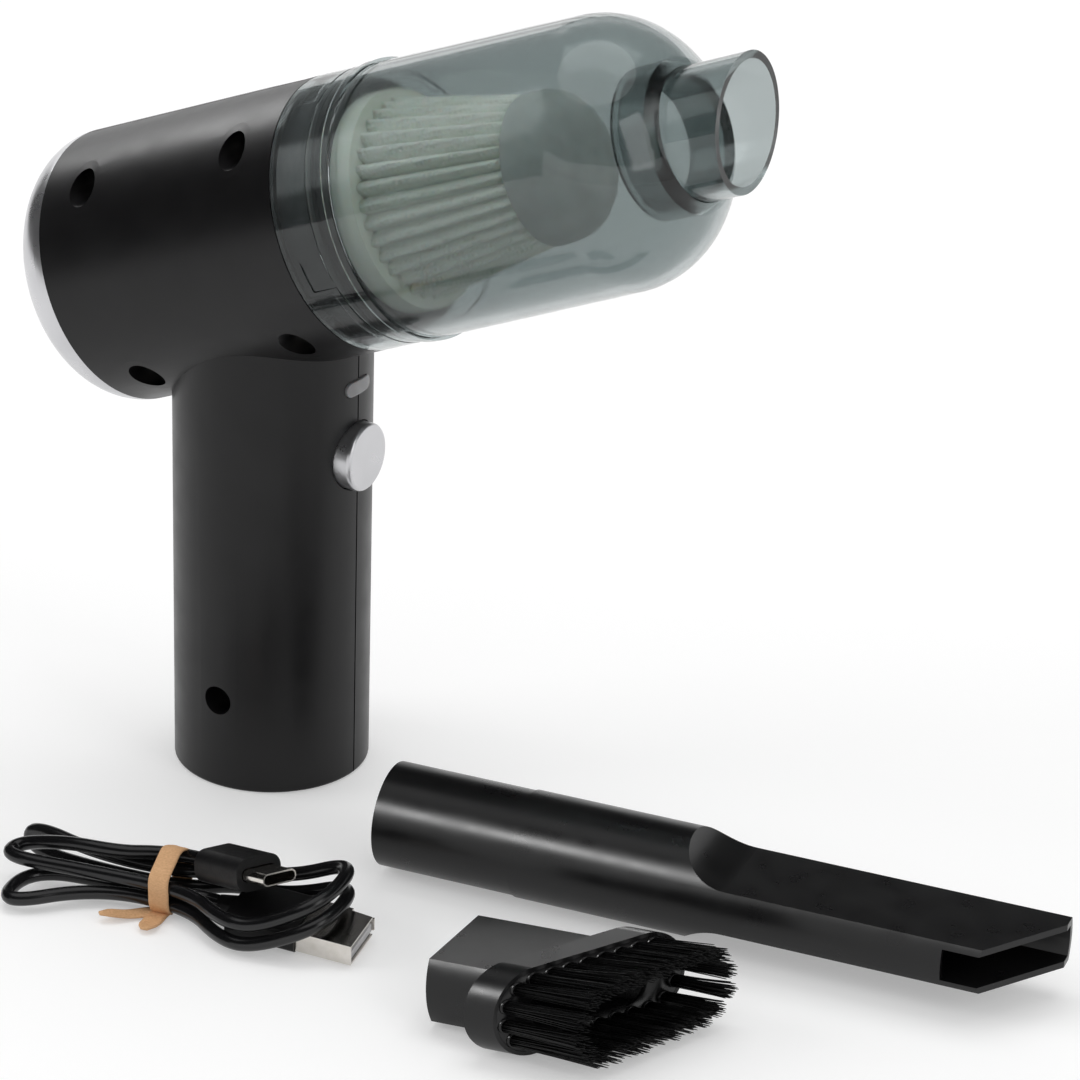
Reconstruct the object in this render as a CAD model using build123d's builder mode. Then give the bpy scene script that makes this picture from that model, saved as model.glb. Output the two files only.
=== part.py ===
import os
from math import atan, cos, pi, radians, sin, sqrt, tan

from build123d import *

# Driving dimensions, in millimetres and degrees.
# Distances along the barrel start where its axis crosses the handle's axis.

# Housing
handle_radius = 21.0
handle_wall = 2.2
base_thickness = 2.4
base_edge_radius = 0.8
barrel_height = 119.2
barrel_tilt = 22.3
housing_front = 21.95
housing_rear = -38.2
housing_front_radius = 28.4
housing_rear_radius = 28.9
housing_wall = 2.2
rib_width = 1.2
rib_depth = 1.6
rib_root = 0.5
seam_depth = 0.35
seam_width = 0.4
seat_gap = 0.15
slip_gap = 0.3

# Housing screws
screw_spread = 20.4
screw_front = 11.7
screw_rear = -27.6
screw_low = 20.4
counterbore_radius = 3.2
boss_wall = 1.2
screw_head_radius = 2.6
screw_head_height = 2.0
screw_radius = 1.1
screw_reach = 9.0
screw_gap = 0.1

# Rear cap and exhaust
cap_depth = 11.4
cap_opening_radius = 15.5
cap_wall = 2.0
cap_skirt_length = 4.2
cap_skirt_wall = 1.8
grille_thickness = 2.0
grille_lip = 2.0
grille_hole_radius = 1.2
grille_ring_step = 4.0
foam_thickness = 4.0
foam_radius = 21.5

# Motor and fan
motor_radius = 14.0
motor_front = -14.0
motor_length = 25.0
motor_wall = 1.2
motor_cap_thickness = 3.0
magnet_thickness = 2.2
magnet_arc = 140.0
shaft_radius = 1.5
core_gap = 0.8
commutator_radius = 4.0
mount_thickness = 4.0
mount_behind = 4.0
mount_hole_radius = 3.2
mount_hole_count = 8
shroud_front = 7.0
shroud_length = 20.0
shroud_wall = 1.8
shroud_plate = 1.5
shroud_inlet_radius = 10.0
diffuser_thickness = 1.5
diffuser_hole_radius = 2.2
diffuser_hole_count = 14
impeller_radius = 20.0
impeller_plate = 1.2
impeller_gap = 2.0
hub_radius = 4.5
blade_count = 9
blade_width = 1.0

# Cup spigot and intake
spigot_radius = 25.0
spigot_wall = 3.2
spigot_front = 33.0
flange_start = 16.4
flange_thickness = 2.8
flange_lip = 2.7
intake_thickness = 1.6
intake_hole_radius = 1.6
intake_ring_step = 4.6
lug_count = 3
lug_arc = 6.0
lug_start = 25.6
lug_length = 2.2

# Dust cup and inlet
cup_wall = 1.8
cup_front_radius = 27.3
dome_start = 84.35
dome_depth = 22.8
collar_line = 8.9
collar_line_depth = 0.3
collar_rib_start = 13.2
collar_rib_length = 1.7
collar_rib_height = 0.35
latch_line = 3.4
latch_turn = -96.5
latch_arc = 13.5
latch_slot_arc = 3.0
track_depth = 0.6
track_arc = 22.0
track_margin = 0.8
inlet_radius = 13.2
inlet_wall = 1.5
inlet_centre_end = 115.4
inlet_slant = 17.5
inlet_inside = 9.0
sleeve_wall = 1.5
sleeve_start = 94.0
seal_gap = 0.8
seal_length = 3.0

# Filter
filter_plug_length = 8.0
filter_bore_radius = 15.0
filter_seat_width = 0.6
filter_flange_length = 4.8
filter_length = 31.0
filter_rear_radius = 20.5
filter_front_radius = 14.9
pleat_depth = 2.6
pleat_count = 34
filter_core_radius = 11.5
filter_cap_length = 11.0
filter_cap_lip = 0.4
filter_cap_round = 9.5

# Handle contents
cell_radius = 9.15
cell_drop = 42.8
holder_thickness = 1.6
board_thickness = 1.4
board_width = 20.0
board_low = 46.0
board_gap = 1.0
switch_size = 6.0
switch_height = 2.6
button_drop = 15.4
button_radius = 7.3
button_face = 23.6
button_edge_radius = 0.9
button_flange = 1.2
button_flange_thickness = 1.2
button_travel = 1.0
plunger_radius = 2.0
lens_drop = 29.5
lens_length = 8.6
lens_width = 3.2
lens_proud = 0.5
led_size = 2.8
led_height = 1.6
port_height = 11.0
port_width = 8.94
port_thickness = 3.16
port_length = 7.3
port_wall = 0.3
charge_board_height = 12.0
lead_radius = 0.7
lead_spread = 5.0
lead_bend_radius = 4.0

# Crevice tool, lying on the floor
tool_x = 48.5
tool_y = -28.5
tool_heading = 7.57
tool_fit_gap = 0.8
tool_fit_length = 30.0
tool_shoulder = 0.25
tool_wall = 1.4
tool_length = 140.6
tool_flat_half = 4.8
tool_flat_start = 75.5
tool_scoop_radius = 11.0
tool_near_corner = 127.5
tool_far_flat = 4.4
tool_notch = 7.0

# Brush, lying on the floor
brush_x = 87.8
brush_y = -69.0
brush_heading = 4.5
brush_wall = 1.0
brush_flat_wall = 1.5
brush_plug_length = 19.2
brush_slant = 31.8
brush_flare = 3.3
brush_flare_root = 0.6
brush_collar_depth = 9.6
brush_collar_half_width = 18.6
brush_collar_half_height = 9.0
brush_rim = 0.8
bristle_length = 14.5
bristle_slant = 25.0
bristle_inset = 2.35
bristle_side = 0.28
bristle_pitch = 0.5
tuft_count = 24
bristle_slice = 1.0

# Charging cable, tied in a hank on the floor
cable_radius = 1.45
hank_x = 19.4
hank_y = -68.7
hank_heading = 10.5
strand_step = 3.5
loop_run = 17.0
run_margin = 2.1
right_reach = 39.0
left_reach = 33.0
left_fan = 9.5
left_loop_width = 8.0
right_loop_width = 9.0
fold_width = 3.1
waist_climb = 0.12
climb_reach = 13.0
climb_drop = 0.1
tie_thickness = 0.5
tie_width = 3.4
tie_gap = 0.35
tie_tail_length = 13.0

# Plugs on the cable
usb_a_x = 63.6
usb_a_y = -63.9
usb_a_heading = 9.0
usb_a_pitch = -2.5
usb_a_roll = 6.0
usb_a_shell_width = 12.0
usb_a_shell_thickness = 4.5
usb_a_shell_length = 12.0
usb_a_shell_wall = 0.35
usb_a_mould_width = 13.4
usb_a_mould_thickness = 5.4
usb_a_mould_length = 15.0
usb_a_relief_length = 4.0
usb_c_x = 48.7
usb_c_y = -71.1
usb_c_lift = 3.25
usb_c_heading = -16.4
usb_c_pitch = 13.7
usb_c_roll = -8.2
usb_c_shell_width = 8.34
usb_c_shell_thickness = 2.56
usb_c_shell_length = 6.5
usb_c_shell_wall = 0.3
usb_c_mould_width = 11.2
usb_c_mould_thickness = 6.8
usb_c_mould_length = 13.5
usb_c_relief_length = 3.0
usb_a_edge_radius = 1.2
usb_c_edge_radius = 2.8
relief_radius = 2.3
shell_insert = 2.0

# Sizes that follow from those above
bore_radius = housing_front_radius - housing_wall
handle_bore = handle_radius - handle_wall
boss_radius = counterbore_radius + boss_wall
far_side = 2 * housing_rear_radius
motor_rear = motor_front - motor_length
mount_front = motor_front - mount_behind
mount_rear = mount_front - mount_thickness
shroud_rear = shroud_front - shroud_length
shroud_radius = bore_radius - seat_gap
shroud_bore = shroud_radius - shroud_wall
diffuser_front = shroud_rear + diffuser_thickness
impeller_rear = diffuser_front + impeller_gap
blade_front = shroud_front - shroud_plate - impeller_gap
spigot_bore = spigot_radius - spigot_wall
flange_end = flange_start + flange_thickness
cup_start = housing_front + slip_gap
cup_rear_radius = housing_front_radius
cup_bore = cup_rear_radius - cup_wall
lug_radius = cup_bore - slip_gap
sleeve_bore = inlet_radius + seat_gap
sleeve_radius = sleeve_bore + sleeve_wall
inlet_bore = inlet_radius - inlet_wall
tool_fit_radius = inlet_bore - tool_fit_gap
tool_radius = tool_fit_radius + tool_shoulder
inlet_start = inlet_centre_end - inlet_inside - dome_depth / 2
seal_start = lug_start + lug_length + seal_gap
filter_seat = spigot_front + seat_gap
filter_flange_radius = spigot_bore + filter_seat_width
filter_media_start = filter_seat + filter_flange_length
filter_media_end = filter_media_start + filter_length
lens_height = barrel_height - lens_drop
button_height = lens_height - button_drop
cell_floor = screw_low + boss_radius + holder_thickness
cell_length = barrel_height - cell_drop - cell_floor
board_rear = cell_radius + seat_gap + slip_gap
board_front = board_rear + board_thickness
layer_low = cable_radius + tie_gap + tie_thickness + tie_gap
layer_high = layer_low + strand_step
usb_a_lean = radians(usb_a_roll)
usb_a_height = usb_a_mould_thickness / 2 + usb_a_mould_width / 2 * sin(usb_a_lean) - seat_gap
usb_c_height = usb_a_height + usb_a_mould_thickness / 2 + usb_c_mould_thickness + usb_c_lift

# The barrel's own frame: forward along its axis, and upwards square to it
tilt = radians(barrel_tilt)
barrel_origin = Vector(0, 0, barrel_height)
forward = Vector(cos(tilt), 0, sin(tilt))
upward = Vector(-sin(tilt), 0, cos(tilt))
sideways = Vector(0, 1, 0)
barrel_axis = Axis(barrel_origin, forward)
# The control board ends just under the fan shroud, which slopes over it
board_high = barrel_height + board_rear * tan(tilt) - shroud_radius / cos(tilt) - board_gap


def barrel_profile(turned=0.0):
    """A plane through the barrel's axis: along it, then outwards from it."""
    outward = upward * cos(radians(turned)) + sideways * sin(radians(turned))
    return Plane(barrel_origin, x_dir=forward, z_dir=forward.cross(outward))


def barrel_section(along):
    """A plane square to the barrel's axis, with y upwards."""
    return Plane(barrel_origin + forward * along, x_dir=sideways, z_dir=forward)


def barrel_point(along, up, side=0.0):
    """A point given along the barrel, above its axis and to its side."""
    return barrel_origin + forward * along + upward * up + sideways * side


def turn(*points, mode=Mode.ADD, arc=360.0, start=0.0):
    """Revolve an outline of (along, radius) points about the barrel's axis."""
    with BuildSketch(barrel_profile(start)) as outline:
        with BuildLine():
            Polyline(*points, close=True)
        make_face()
    revolve(outline.sketch, axis=barrel_axis, revolution_arc=arc, mode=mode)


def ring(start, end, inner, outer, mode=Mode.ADD, arc=360.0, turned=0.0):
    """A ring about the barrel's axis."""
    turn((start, inner), (start, outer), (end, outer), (end, inner), mode=mode, arc=arc, start=turned)


def across(point, radius, low, high, mode=Mode.ADD):
    """A round bar along Y at a point's x and z, from y = low to y = high."""
    with BuildSketch(Plane.XZ.offset(-high)) as disc:
        with Locations((point.X, point.Z)):
            Circle(radius)
    extrude(disc.sketch, amount=high - low, mode=mode)


def holed_disc(start, thickness, radius, hole_radius, ring_step):
    """A disc about the barrel's axis with rings of round holes."""
    with BuildSketch(barrel_section(start)) as face:
        Circle(radius)
        Circle(hole_radius, mode=Mode.SUBTRACT)
        for ring_number in range(1, int((radius - hole_radius - 1.0) / ring_step) + 1):
            with PolarLocations(ring_number * ring_step, 6 * ring_number):
                Circle(hole_radius, mode=Mode.SUBTRACT)
    extrude(face.sketch, amount=thickness)


# Screw places: four on the barrel and one low on the handle
screw_places = [
    barrel_point(screw_front, screw_spread),
    barrel_point(screw_front, -screw_spread),
    barrel_point(screw_rear, screw_spread),
    barrel_point(screw_rear, -screw_spread),
    Vector(0, 0, screw_low),
]

# Housing, made whole and then parted into two shells
with BuildPart() as housing_form:
    turn(
        (housing_rear, 0),
        (housing_rear, housing_rear_radius),
        (housing_front, housing_front_radius),
        (housing_front, 0),
    )
    with BuildSketch():
        Circle(handle_radius)
    extrude(amount=barrel_height)
    fillet(housing_form.edges().group_by(Axis.Z)[0], base_edge_radius)

with BuildPart() as screw_posts:
    for place in screw_places:
        across(place, boss_radius, -housing_rear_radius, housing_rear_radius)
    add(housing_form.part, mode=Mode.INTERSECT)

# A shallow groove along the outside of the joint between the two shells
with BuildPart() as seam:
    with BuildSketch(Plane.XZ):
        with Locations((0, barrel_height)):
            Rectangle(8 * housing_rear_radius, 4 * barrel_height)
    extrude(amount=seam_width / 2, both=True)
    turn(
        (housing_rear, 0),
        (housing_rear, housing_rear_radius - seam_depth),
        (housing_front, housing_front_radius - seam_depth),
        (housing_front, 0),
        mode=Mode.SUBTRACT,
    )
    with BuildSketch(Plane.XY.offset(-seam_depth)):
        Circle(handle_radius - seam_depth)
    extrude(amount=barrel_height + seam_depth, mode=Mode.SUBTRACT)

with BuildPart() as housing:
    add(housing_form.part)
    add(seam.part, mode=Mode.SUBTRACT)
    ring(housing_rear, housing_front, 0, bore_radius, mode=Mode.SUBTRACT)
    with BuildSketch(Plane.XY.offset(base_thickness)):
        Circle(handle_bore)
    extrude(amount=barrel_height - base_thickness, mode=Mode.SUBTRACT)
    add(screw_posts.part)
    # Ribs that hold the spigot's flange, the fan shroud and the motor mount
    ring(flange_end + seat_gap, housing_front, spigot_radius + seat_gap, bore_radius + rib_root)
    for rib_end in (flange_start, shroud_rear, mount_rear):
        rib_face = rib_end - seat_gap
        ring(rib_face - rib_width, rib_face, bore_radius - rib_depth, bore_radius + rib_root)
    # Openings for the button, the lens and the charging port
    with BuildSketch(Plane.YZ.offset(handle_bore / 2)):
        with Locations((0, button_height)):
            Circle(button_radius + slip_gap)
        with Locations((0, lens_height)):
            SlotOverall(lens_length + 2 * seat_gap, lens_width + 2 * seat_gap)
    extrude(amount=handle_radius, mode=Mode.SUBTRACT)
    with BuildSketch(Plane.YZ.offset(-handle_bore / 2)):
        with Locations((0, port_height)):
            SlotOverall(port_width + 2 * seat_gap, port_thickness + 2 * seat_gap)
    extrude(amount=-handle_radius, mode=Mode.SUBTRACT)
    for place in screw_places:
        across(place, screw_radius + screw_gap, -far_side, screw_reach + screw_gap, mode=Mode.SUBTRACT)

with BuildPart() as housing_left:
    add(housing.part)
    for place in screw_places:
        across(place, counterbore_radius, -far_side, -screw_reach, mode=Mode.SUBTRACT)
    split(bisect_by=Plane.XZ, keep=Keep.TOP)

with BuildPart() as housing_right:
    add(housing.part)
    split(bisect_by=Plane.XZ, keep=Keep.BOTTOM)

with BuildPart() as housing_screws:
    for place in screw_places:
        across(place, screw_head_radius, -screw_reach - screw_head_height, -screw_reach)
        across(place, screw_radius, -screw_reach, screw_reach)
    for place in screw_places:
        with BuildSketch(Plane.XZ.offset(screw_reach + screw_head_height)) as recess:
            with Locations((place.X, place.Z)):
                Rectangle(screw_head_radius, screw_head_radius / 4)
                Rectangle(screw_head_radius / 4, screw_head_radius)
        extrude(recess.sketch, amount=-screw_head_height / 2, mode=Mode.SUBTRACT)

# Rear cap with its exhaust
cap_end = housing_rear - cap_depth
cap_dome = housing_rear_radius - cap_opening_radius
cap_centre = (housing_rear, cap_opening_radius)
with BuildPart() as rear_cap:
    with BuildSketch(barrel_profile()):
        with BuildLine():
            outer_edge = EllipticalCenterArc(
                cap_centre, cap_depth, cap_dome, start_angle=90, arc_size=90
            )
            inner_edge = EllipticalCenterArc(
                cap_centre, cap_depth - cap_wall, cap_dome - cap_wall, start_angle=90, arc_size=90
            )
            Line(outer_edge @ 0, inner_edge @ 0)
            Line(outer_edge @ 1, inner_edge @ 1)
        make_face()
    revolve(axis=barrel_axis)
    ring(
        housing_rear - cap_depth / 2,
        housing_rear + cap_skirt_length,
        bore_radius - seat_gap - cap_skirt_wall,
        bore_radius - seat_gap,
    )
    ring(housing_rear - cap_wall, housing_rear, bore_radius - seat_gap - cap_skirt_wall, housing_rear_radius)
    # Trim what the skirt and its seat would leave outside the shell
    with BuildSketch(barrel_profile()):
        with BuildLine():
            rim = EllipticalCenterArc(
                cap_centre, cap_depth, cap_dome, start_angle=90, arc_size=90
            )
            far_corner = (cap_end, housing_rear_radius)
            Line(rim @ 0, far_corner)
            Line(far_corner, rim @ 1)
        make_face()
    revolve(axis=barrel_axis, mode=Mode.SUBTRACT)

grille_front = cap_end + cap_wall + 2 * slip_gap
with BuildPart() as exhaust_grille:
    holed_disc(cap_end + slip_gap, grille_front - cap_end - slip_gap + grille_thickness,
               cap_opening_radius - seat_gap, grille_hole_radius, grille_ring_step)
    grille_back = grille_front + grille_thickness
    ring(grille_front, grille_back, cap_opening_radius - 1.0, cap_opening_radius + grille_lip)

foam_start = grille_front + grille_thickness + seat_gap
with BuildPart() as exhaust_foam:
    ring(foam_start, foam_start + foam_thickness, 0, foam_radius)

# Motor
can_rear = motor_rear + motor_cap_thickness
can_bore = motor_radius - motor_wall
magnet_bore = can_bore - seat_gap - magnet_thickness
core_start = can_rear + motor_cap_thickness
core_end = motor_front - motor_wall - 2.0
with BuildPart() as motor_can:
    turn(
        (can_rear, can_bore),
        (can_rear, motor_radius),
        (motor_front, motor_radius),
        (motor_front, shaft_radius + screw_gap),
        (motor_front - motor_wall, shaft_radius + screw_gap),
        (motor_front - motor_wall, can_bore),
    )

with BuildPart() as motor_end_cap:
    ring(motor_rear, can_rear, 0, motor_radius)
    ring(can_rear, can_rear + 1.5, can_bore - 2.0, can_bore - seat_gap)
    ring(motor_rear + 1.0, can_rear, 0, shaft_radius + screw_gap, mode=Mode.SUBTRACT)

with BuildPart() as motor_magnets:
    for side in (0, 180):
        ring(core_start - 1.0, core_end + 1.0, magnet_bore, can_bore - seat_gap, arc=magnet_arc, turned=side)

with BuildPart() as motor_armature:
    ring(motor_rear + 1.2, blade_front - 1.0, 0, shaft_radius)
    ring(core_start, core_end, 0, magnet_bore - core_gap)
    ring(can_rear + 0.4, core_start, 0, commutator_radius)

with BuildPart() as motor_mount:
    with BuildSketch(barrel_section(mount_rear)):
        Circle(bore_radius - seat_gap)
        Circle(motor_radius + seat_gap, mode=Mode.SUBTRACT)
        with PolarLocations((bore_radius + motor_radius) / 2, mount_hole_count):
            Circle(mount_hole_radius, mode=Mode.SUBTRACT)
    extrude(amount=mount_thickness)

# Fan
with BuildPart() as fan_shroud:
    turn(
        (shroud_rear, shroud_bore),
        (shroud_rear, shroud_radius),
        (shroud_front, shroud_radius),
        (shroud_front, shroud_inlet_radius),
        (shroud_front - shroud_plate, shroud_inlet_radius),
        (shroud_front - shroud_plate, shroud_bore),
    )

with BuildPart() as diffuser_plate:
    with BuildSketch(barrel_section(shroud_rear)):
        Circle(shroud_bore - seat_gap)
        Circle(hub_radius + slip_gap, mode=Mode.SUBTRACT)
        with PolarLocations((shroud_bore + motor_radius) / 2, diffuser_hole_count):
            Circle(diffuser_hole_radius, mode=Mode.SUBTRACT)
    extrude(amount=diffuser_thickness)

with BuildPart() as impeller:
    ring(impeller_rear, blade_front, shaft_radius + screw_gap / 2, hub_radius)
    ring(impeller_rear, impeller_rear + impeller_plate, hub_radius - 0.5, impeller_radius)
    with BuildSketch(barrel_section(impeller_rear)):
        for blade in range(blade_count):
            with BuildLine(Plane.XY.rotated((0, 0, 360 * blade / blade_count)), mode=Mode.PRIVATE) as spine:
                ThreePointArc(
                    (hub_radius - 0.5, 0),
                    (impeller_radius * 0.6, impeller_radius * 0.12),
                    (impeller_radius * 0.9, impeller_radius * 0.42),
                )
            trace(spine.line, line_width=blade_width)
    extrude(amount=blade_front - impeller_rear)

# Spigot that the cup twists onto, and the intake grille behind the filter
with BuildPart() as cup_spigot:
    ring(flange_start, spigot_front, spigot_bore, spigot_radius)
    ring(flange_start, flange_end, spigot_bore - flange_lip, bore_radius - seat_gap)
    for lug in range(lug_count):
        lug_at = 360 * lug / lug_count
        ring(lug_start, lug_start + lug_length, spigot_radius - 0.5, lug_radius, arc=lug_arc, turned=lug_at)

with BuildPart() as intake_grille:
    intake_start = flange_end + seat_gap
    holed_disc(intake_start, intake_thickness, spigot_bore - seat_gap, intake_hole_radius, intake_ring_step)

# Handle contents
with BuildPart() as battery_cells:
    with BuildSketch(Plane.XY.offset(cell_floor)):
        with Locations((0, -cell_radius - seat_gap), (0, cell_radius + seat_gap)):
            Circle(cell_radius)
    extrude(amount=cell_length)

with BuildPart() as battery_holder:
    for level in (cell_floor - holder_thickness, cell_floor + cell_length):
        with BuildSketch(Plane.XY.offset(level)):
            SlotOverall(2 * handle_bore - 2 * slip_gap, 2 * cell_radius, rotation=90)
        extrude(amount=holder_thickness)

with BuildPart() as control_board:
    with BuildSketch(Plane.YZ.offset(board_rear)):
        with Locations((0, (board_low + board_high) / 2)):
            Rectangle(board_width, board_high - board_low)
    extrude(amount=board_thickness)

with BuildPart() as push_switch:
    with BuildSketch(Plane.YZ.offset(board_front)):
        with Locations((0, button_height)):
            Rectangle(switch_size, switch_size)
    extrude(amount=switch_height)

with BuildPart() as indicator_led:
    with BuildSketch(Plane.YZ.offset(board_front)):
        with Locations((0, lens_height)):
            Rectangle(led_size, led_size)
    extrude(amount=led_height)

with BuildPart() as indicator_lens:
    with BuildSketch(Plane.YZ.offset(board_front + led_height + seat_gap)):
        with Locations((0, lens_height)):
            SlotOverall(lens_length, lens_width)
    extrude(amount=handle_radius + lens_proud - board_front - led_height - seat_gap)
    with BuildSketch(Plane.XY.offset(lens_height - lens_width)):
        Circle(2 * handle_radius)
        Circle(handle_radius + lens_proud, mode=Mode.SUBTRACT)
    extrude(amount=2 * lens_width, mode=Mode.SUBTRACT)
    fillet(indicator_lens.faces().sort_by(Axis.X)[-1].edges(), lens_proud / 2)

plunger_end = board_front + switch_height + button_travel + slip_gap
flange_face = sqrt(handle_bore**2 - (button_radius + button_flange) ** 2) - slip_gap
with BuildPart() as power_button:
    with BuildSketch(Plane.YZ.offset(flange_face - button_flange_thickness)):
        with Locations((0, button_height)):
            Circle(button_radius)
    extrude(amount=button_face - flange_face + button_flange_thickness)
    fillet(power_button.faces().sort_by(Axis.X)[-1].edges(), button_edge_radius)
    with BuildSketch(Plane.YZ.offset(flange_face - button_flange_thickness)):
        with Locations((0, button_height)):
            Circle(button_radius + button_flange)
    extrude(amount=button_flange_thickness)
    with BuildSketch(Plane.YZ.offset(plunger_end)):
        with Locations((0, button_height)):
            Circle(plunger_radius)
    extrude(amount=flange_face - plunger_end)

# Charging port at the back of the handle's foot
port_face = -sqrt(handle_radius**2 - (port_width / 2) ** 2) + seat_gap
with BuildPart() as usb_c_socket:
    with BuildSketch(Plane.YZ.offset(port_face)):
        with Locations((0, port_height)):
            SlotOverall(port_width, port_thickness)
            SlotOverall(port_width - 2 * port_wall, port_thickness - 2 * port_wall, mode=Mode.SUBTRACT)
    extrude(amount=port_length)
    with BuildSketch(Plane.YZ.offset(port_face + 1.0)):
        with Locations((0, port_height)):
            Rectangle(port_width * 0.72, port_thickness * 0.22)
    extrude(amount=port_length - 1.0)
    with BuildSketch(Plane.YZ.offset(port_face + port_length - 1.0)):
        with Locations((0, port_height)):
            SlotOverall(port_width, port_thickness)
    extrude(amount=1.0)

with BuildPart() as charge_board:
    with BuildSketch(Plane.YZ.offset(port_face + port_length + seat_gap)):
        with Locations((0, base_thickness + seat_gap + charge_board_height / 2)):
            Rectangle(2 * port_width, charge_board_height)
    extrude(amount=board_thickness)

# Leads from the control board up to the motor, between its mount and the fan
lead_along = (mount_front + shroud_rear) / 2
lead_end_up = -motor_radius - lead_radius - seat_gap
lead_start_z = cell_floor + cell_length + holder_thickness + lead_radius + slip_gap
lead_corner_up = (lead_start_z - barrel_height - lead_along * sin(tilt)) / cos(tilt)
with BuildPart() as motor_leads:
    for side in (-lead_spread, lead_spread):
        lead_start = Vector(board_rear - seat_gap, side, lead_start_z)
        lead_corner = barrel_point(lead_along, lead_corner_up, side)
        with BuildLine() as lead_path:
            FilletPolyline(
                lead_start, lead_corner, barrel_point(lead_along, lead_end_up, side), radius=lead_bend_radius
            )
        with BuildSketch(Plane(lead_start, z_dir=(-1, 0, 0))) as lead_section:
            Circle(lead_radius)
        sweep(lead_section.sketch, path=lead_path.line)

# Filter
with BuildPart() as filter_frame:
    ring(spigot_front - filter_plug_length, filter_seat, filter_bore_radius, spigot_bore - slip_gap)
    ring(filter_seat, filter_media_start, filter_bore_radius, filter_flange_radius)


def star(tip_radius):
    """Pleat corners, alternately at the tip and the root of a pleat."""
    corners = []
    for corner in range(2 * pleat_count):
        radius = tip_radius - pleat_depth * (corner % 2)
        angle = pi * corner / pleat_count
        corners.append((radius * cos(angle), radius * sin(angle)))
    return corners


with BuildPart() as filter_media:
    with BuildSketch(barrel_section(filter_media_start)):
        Polygon(*star(filter_rear_radius), align=None)
    with BuildSketch(barrel_section(filter_media_end)):
        Polygon(*star(filter_front_radius), align=None)
    loft(ruled=True)
    ring(filter_media_start, filter_media_end, 0, filter_core_radius, mode=Mode.SUBTRACT)

with BuildPart() as filter_cap:
    ring(filter_media_end, filter_media_end + filter_cap_length, 0, filter_front_radius + filter_cap_lip)
    nose = filter_cap.faces().sort_by(barrel_axis)[-1].edges()
    fillet(nose, filter_cap_round)

# Dust cup, its seal and the inlet tube
with BuildPart() as cup_seal:
    ring(seal_start, seal_start + seal_length, spigot_radius + slip_gap, cup_bore - slip_gap)

dome_edge = dome_start + dome_depth * sqrt(1 - (sleeve_radius / cup_front_radius) ** 2)
with BuildPart() as dust_cup:
    with BuildSketch(barrel_profile()):
        with BuildLine():
            dome = EllipticalCenterArc((dome_start, 0), dome_depth, cup_front_radius, arc_size=90)
            Polyline(dome @ 1, (cup_start, cup_rear_radius), (cup_start, 0), dome @ 0)
        make_face()
    revolve(axis=barrel_axis)
    with BuildSketch(barrel_profile()):
        with BuildLine():
            hollow_dome = EllipticalCenterArc(
                (dome_start, 0), dome_depth - cup_wall, cup_front_radius - cup_wall, arc_size=90
            )
            Polyline(hollow_dome @ 1, (cup_start, cup_bore), (cup_start, 0), hollow_dome @ 0)
        make_face()
    revolve(axis=barrel_axis, mode=Mode.SUBTRACT)
    ring(sleeve_start, dome_edge, 0, sleeve_radius)
    ring(sleeve_start - 1.0, inlet_centre_end, 0, sleeve_bore, mode=Mode.SUBTRACT)
    # Line and rib round the collar
    line_at = housing_front + collar_line
    line_floor = cup_rear_radius - collar_line_depth
    ring(line_at, line_at + 0.5, line_floor, cup_rear_radius + 1.0, mode=Mode.SUBTRACT)
    rib_at = housing_front + collar_rib_start
    ring(rib_at, rib_at + collar_rib_length, cup_bore + cup_wall / 2, cup_rear_radius + collar_rib_height)
    # Shallow L-shaped latch marks between the housing and that line
    latch_at = housing_front + latch_line
    for latch in range(lug_count):
        latch_start = latch_turn + 360 * latch / lug_count
        slot_start = latch_start - latch_arc + latch_slot_arc
        ring(latch_at, latch_at + 0.4, line_floor, cup_rear_radius + 1.0, mode=Mode.SUBTRACT,
             arc=latch_arc, turned=latch_start)
        ring(latch_at, line_at, line_floor, cup_rear_radius + 1.0, mode=Mode.SUBTRACT,
             arc=latch_slot_arc, turned=slot_start)
    # L-shaped tracks inside the collar, one for each lug
    track_low = lug_start - track_margin
    track_high = lug_start + lug_length + track_margin
    for lug in range(lug_count):
        lug_at = 360 * lug / lug_count - lug_arc / 2
        ring(track_low, track_high, cup_bore - 0.5, cup_bore + track_depth, mode=Mode.SUBTRACT,
             arc=track_arc, turned=lug_at)
        ring(cup_start, track_high, cup_bore - 0.5, cup_bore + track_depth, mode=Mode.SUBTRACT,
             arc=2 * lug_arc, turned=lug_at + track_arc - 2 * lug_arc)

slant = radians(inlet_slant)
mouth_normal = forward * cos(slant) - upward * sin(slant)
with BuildPart() as inlet_tube:
    ring(inlet_start, inlet_centre_end + inlet_radius, inlet_bore, inlet_radius)
    mouth = Plane(barrel_origin + forward * inlet_centre_end, x_dir=sideways, z_dir=mouth_normal)
    split(bisect_by=mouth, keep=Keep.BOTTOM)

# Crevice tool
tool_angle = radians(tool_heading)
tool_origin = Vector(tool_x, tool_y, tool_radius)
tool_ahead = Vector(cos(tool_angle), sin(tool_angle), 0)
tool_left = Vector(-sin(tool_angle), cos(tool_angle), 0)
tool_section = Plane(tool_origin, x_dir=tool_left, z_dir=tool_ahead)
tool_side = Plane(tool_origin, x_dir=tool_ahead, z_dir=-tool_left)
tool_plan = Plane(tool_origin, x_dir=tool_ahead, z_dir=(0, 0, 1))


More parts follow.
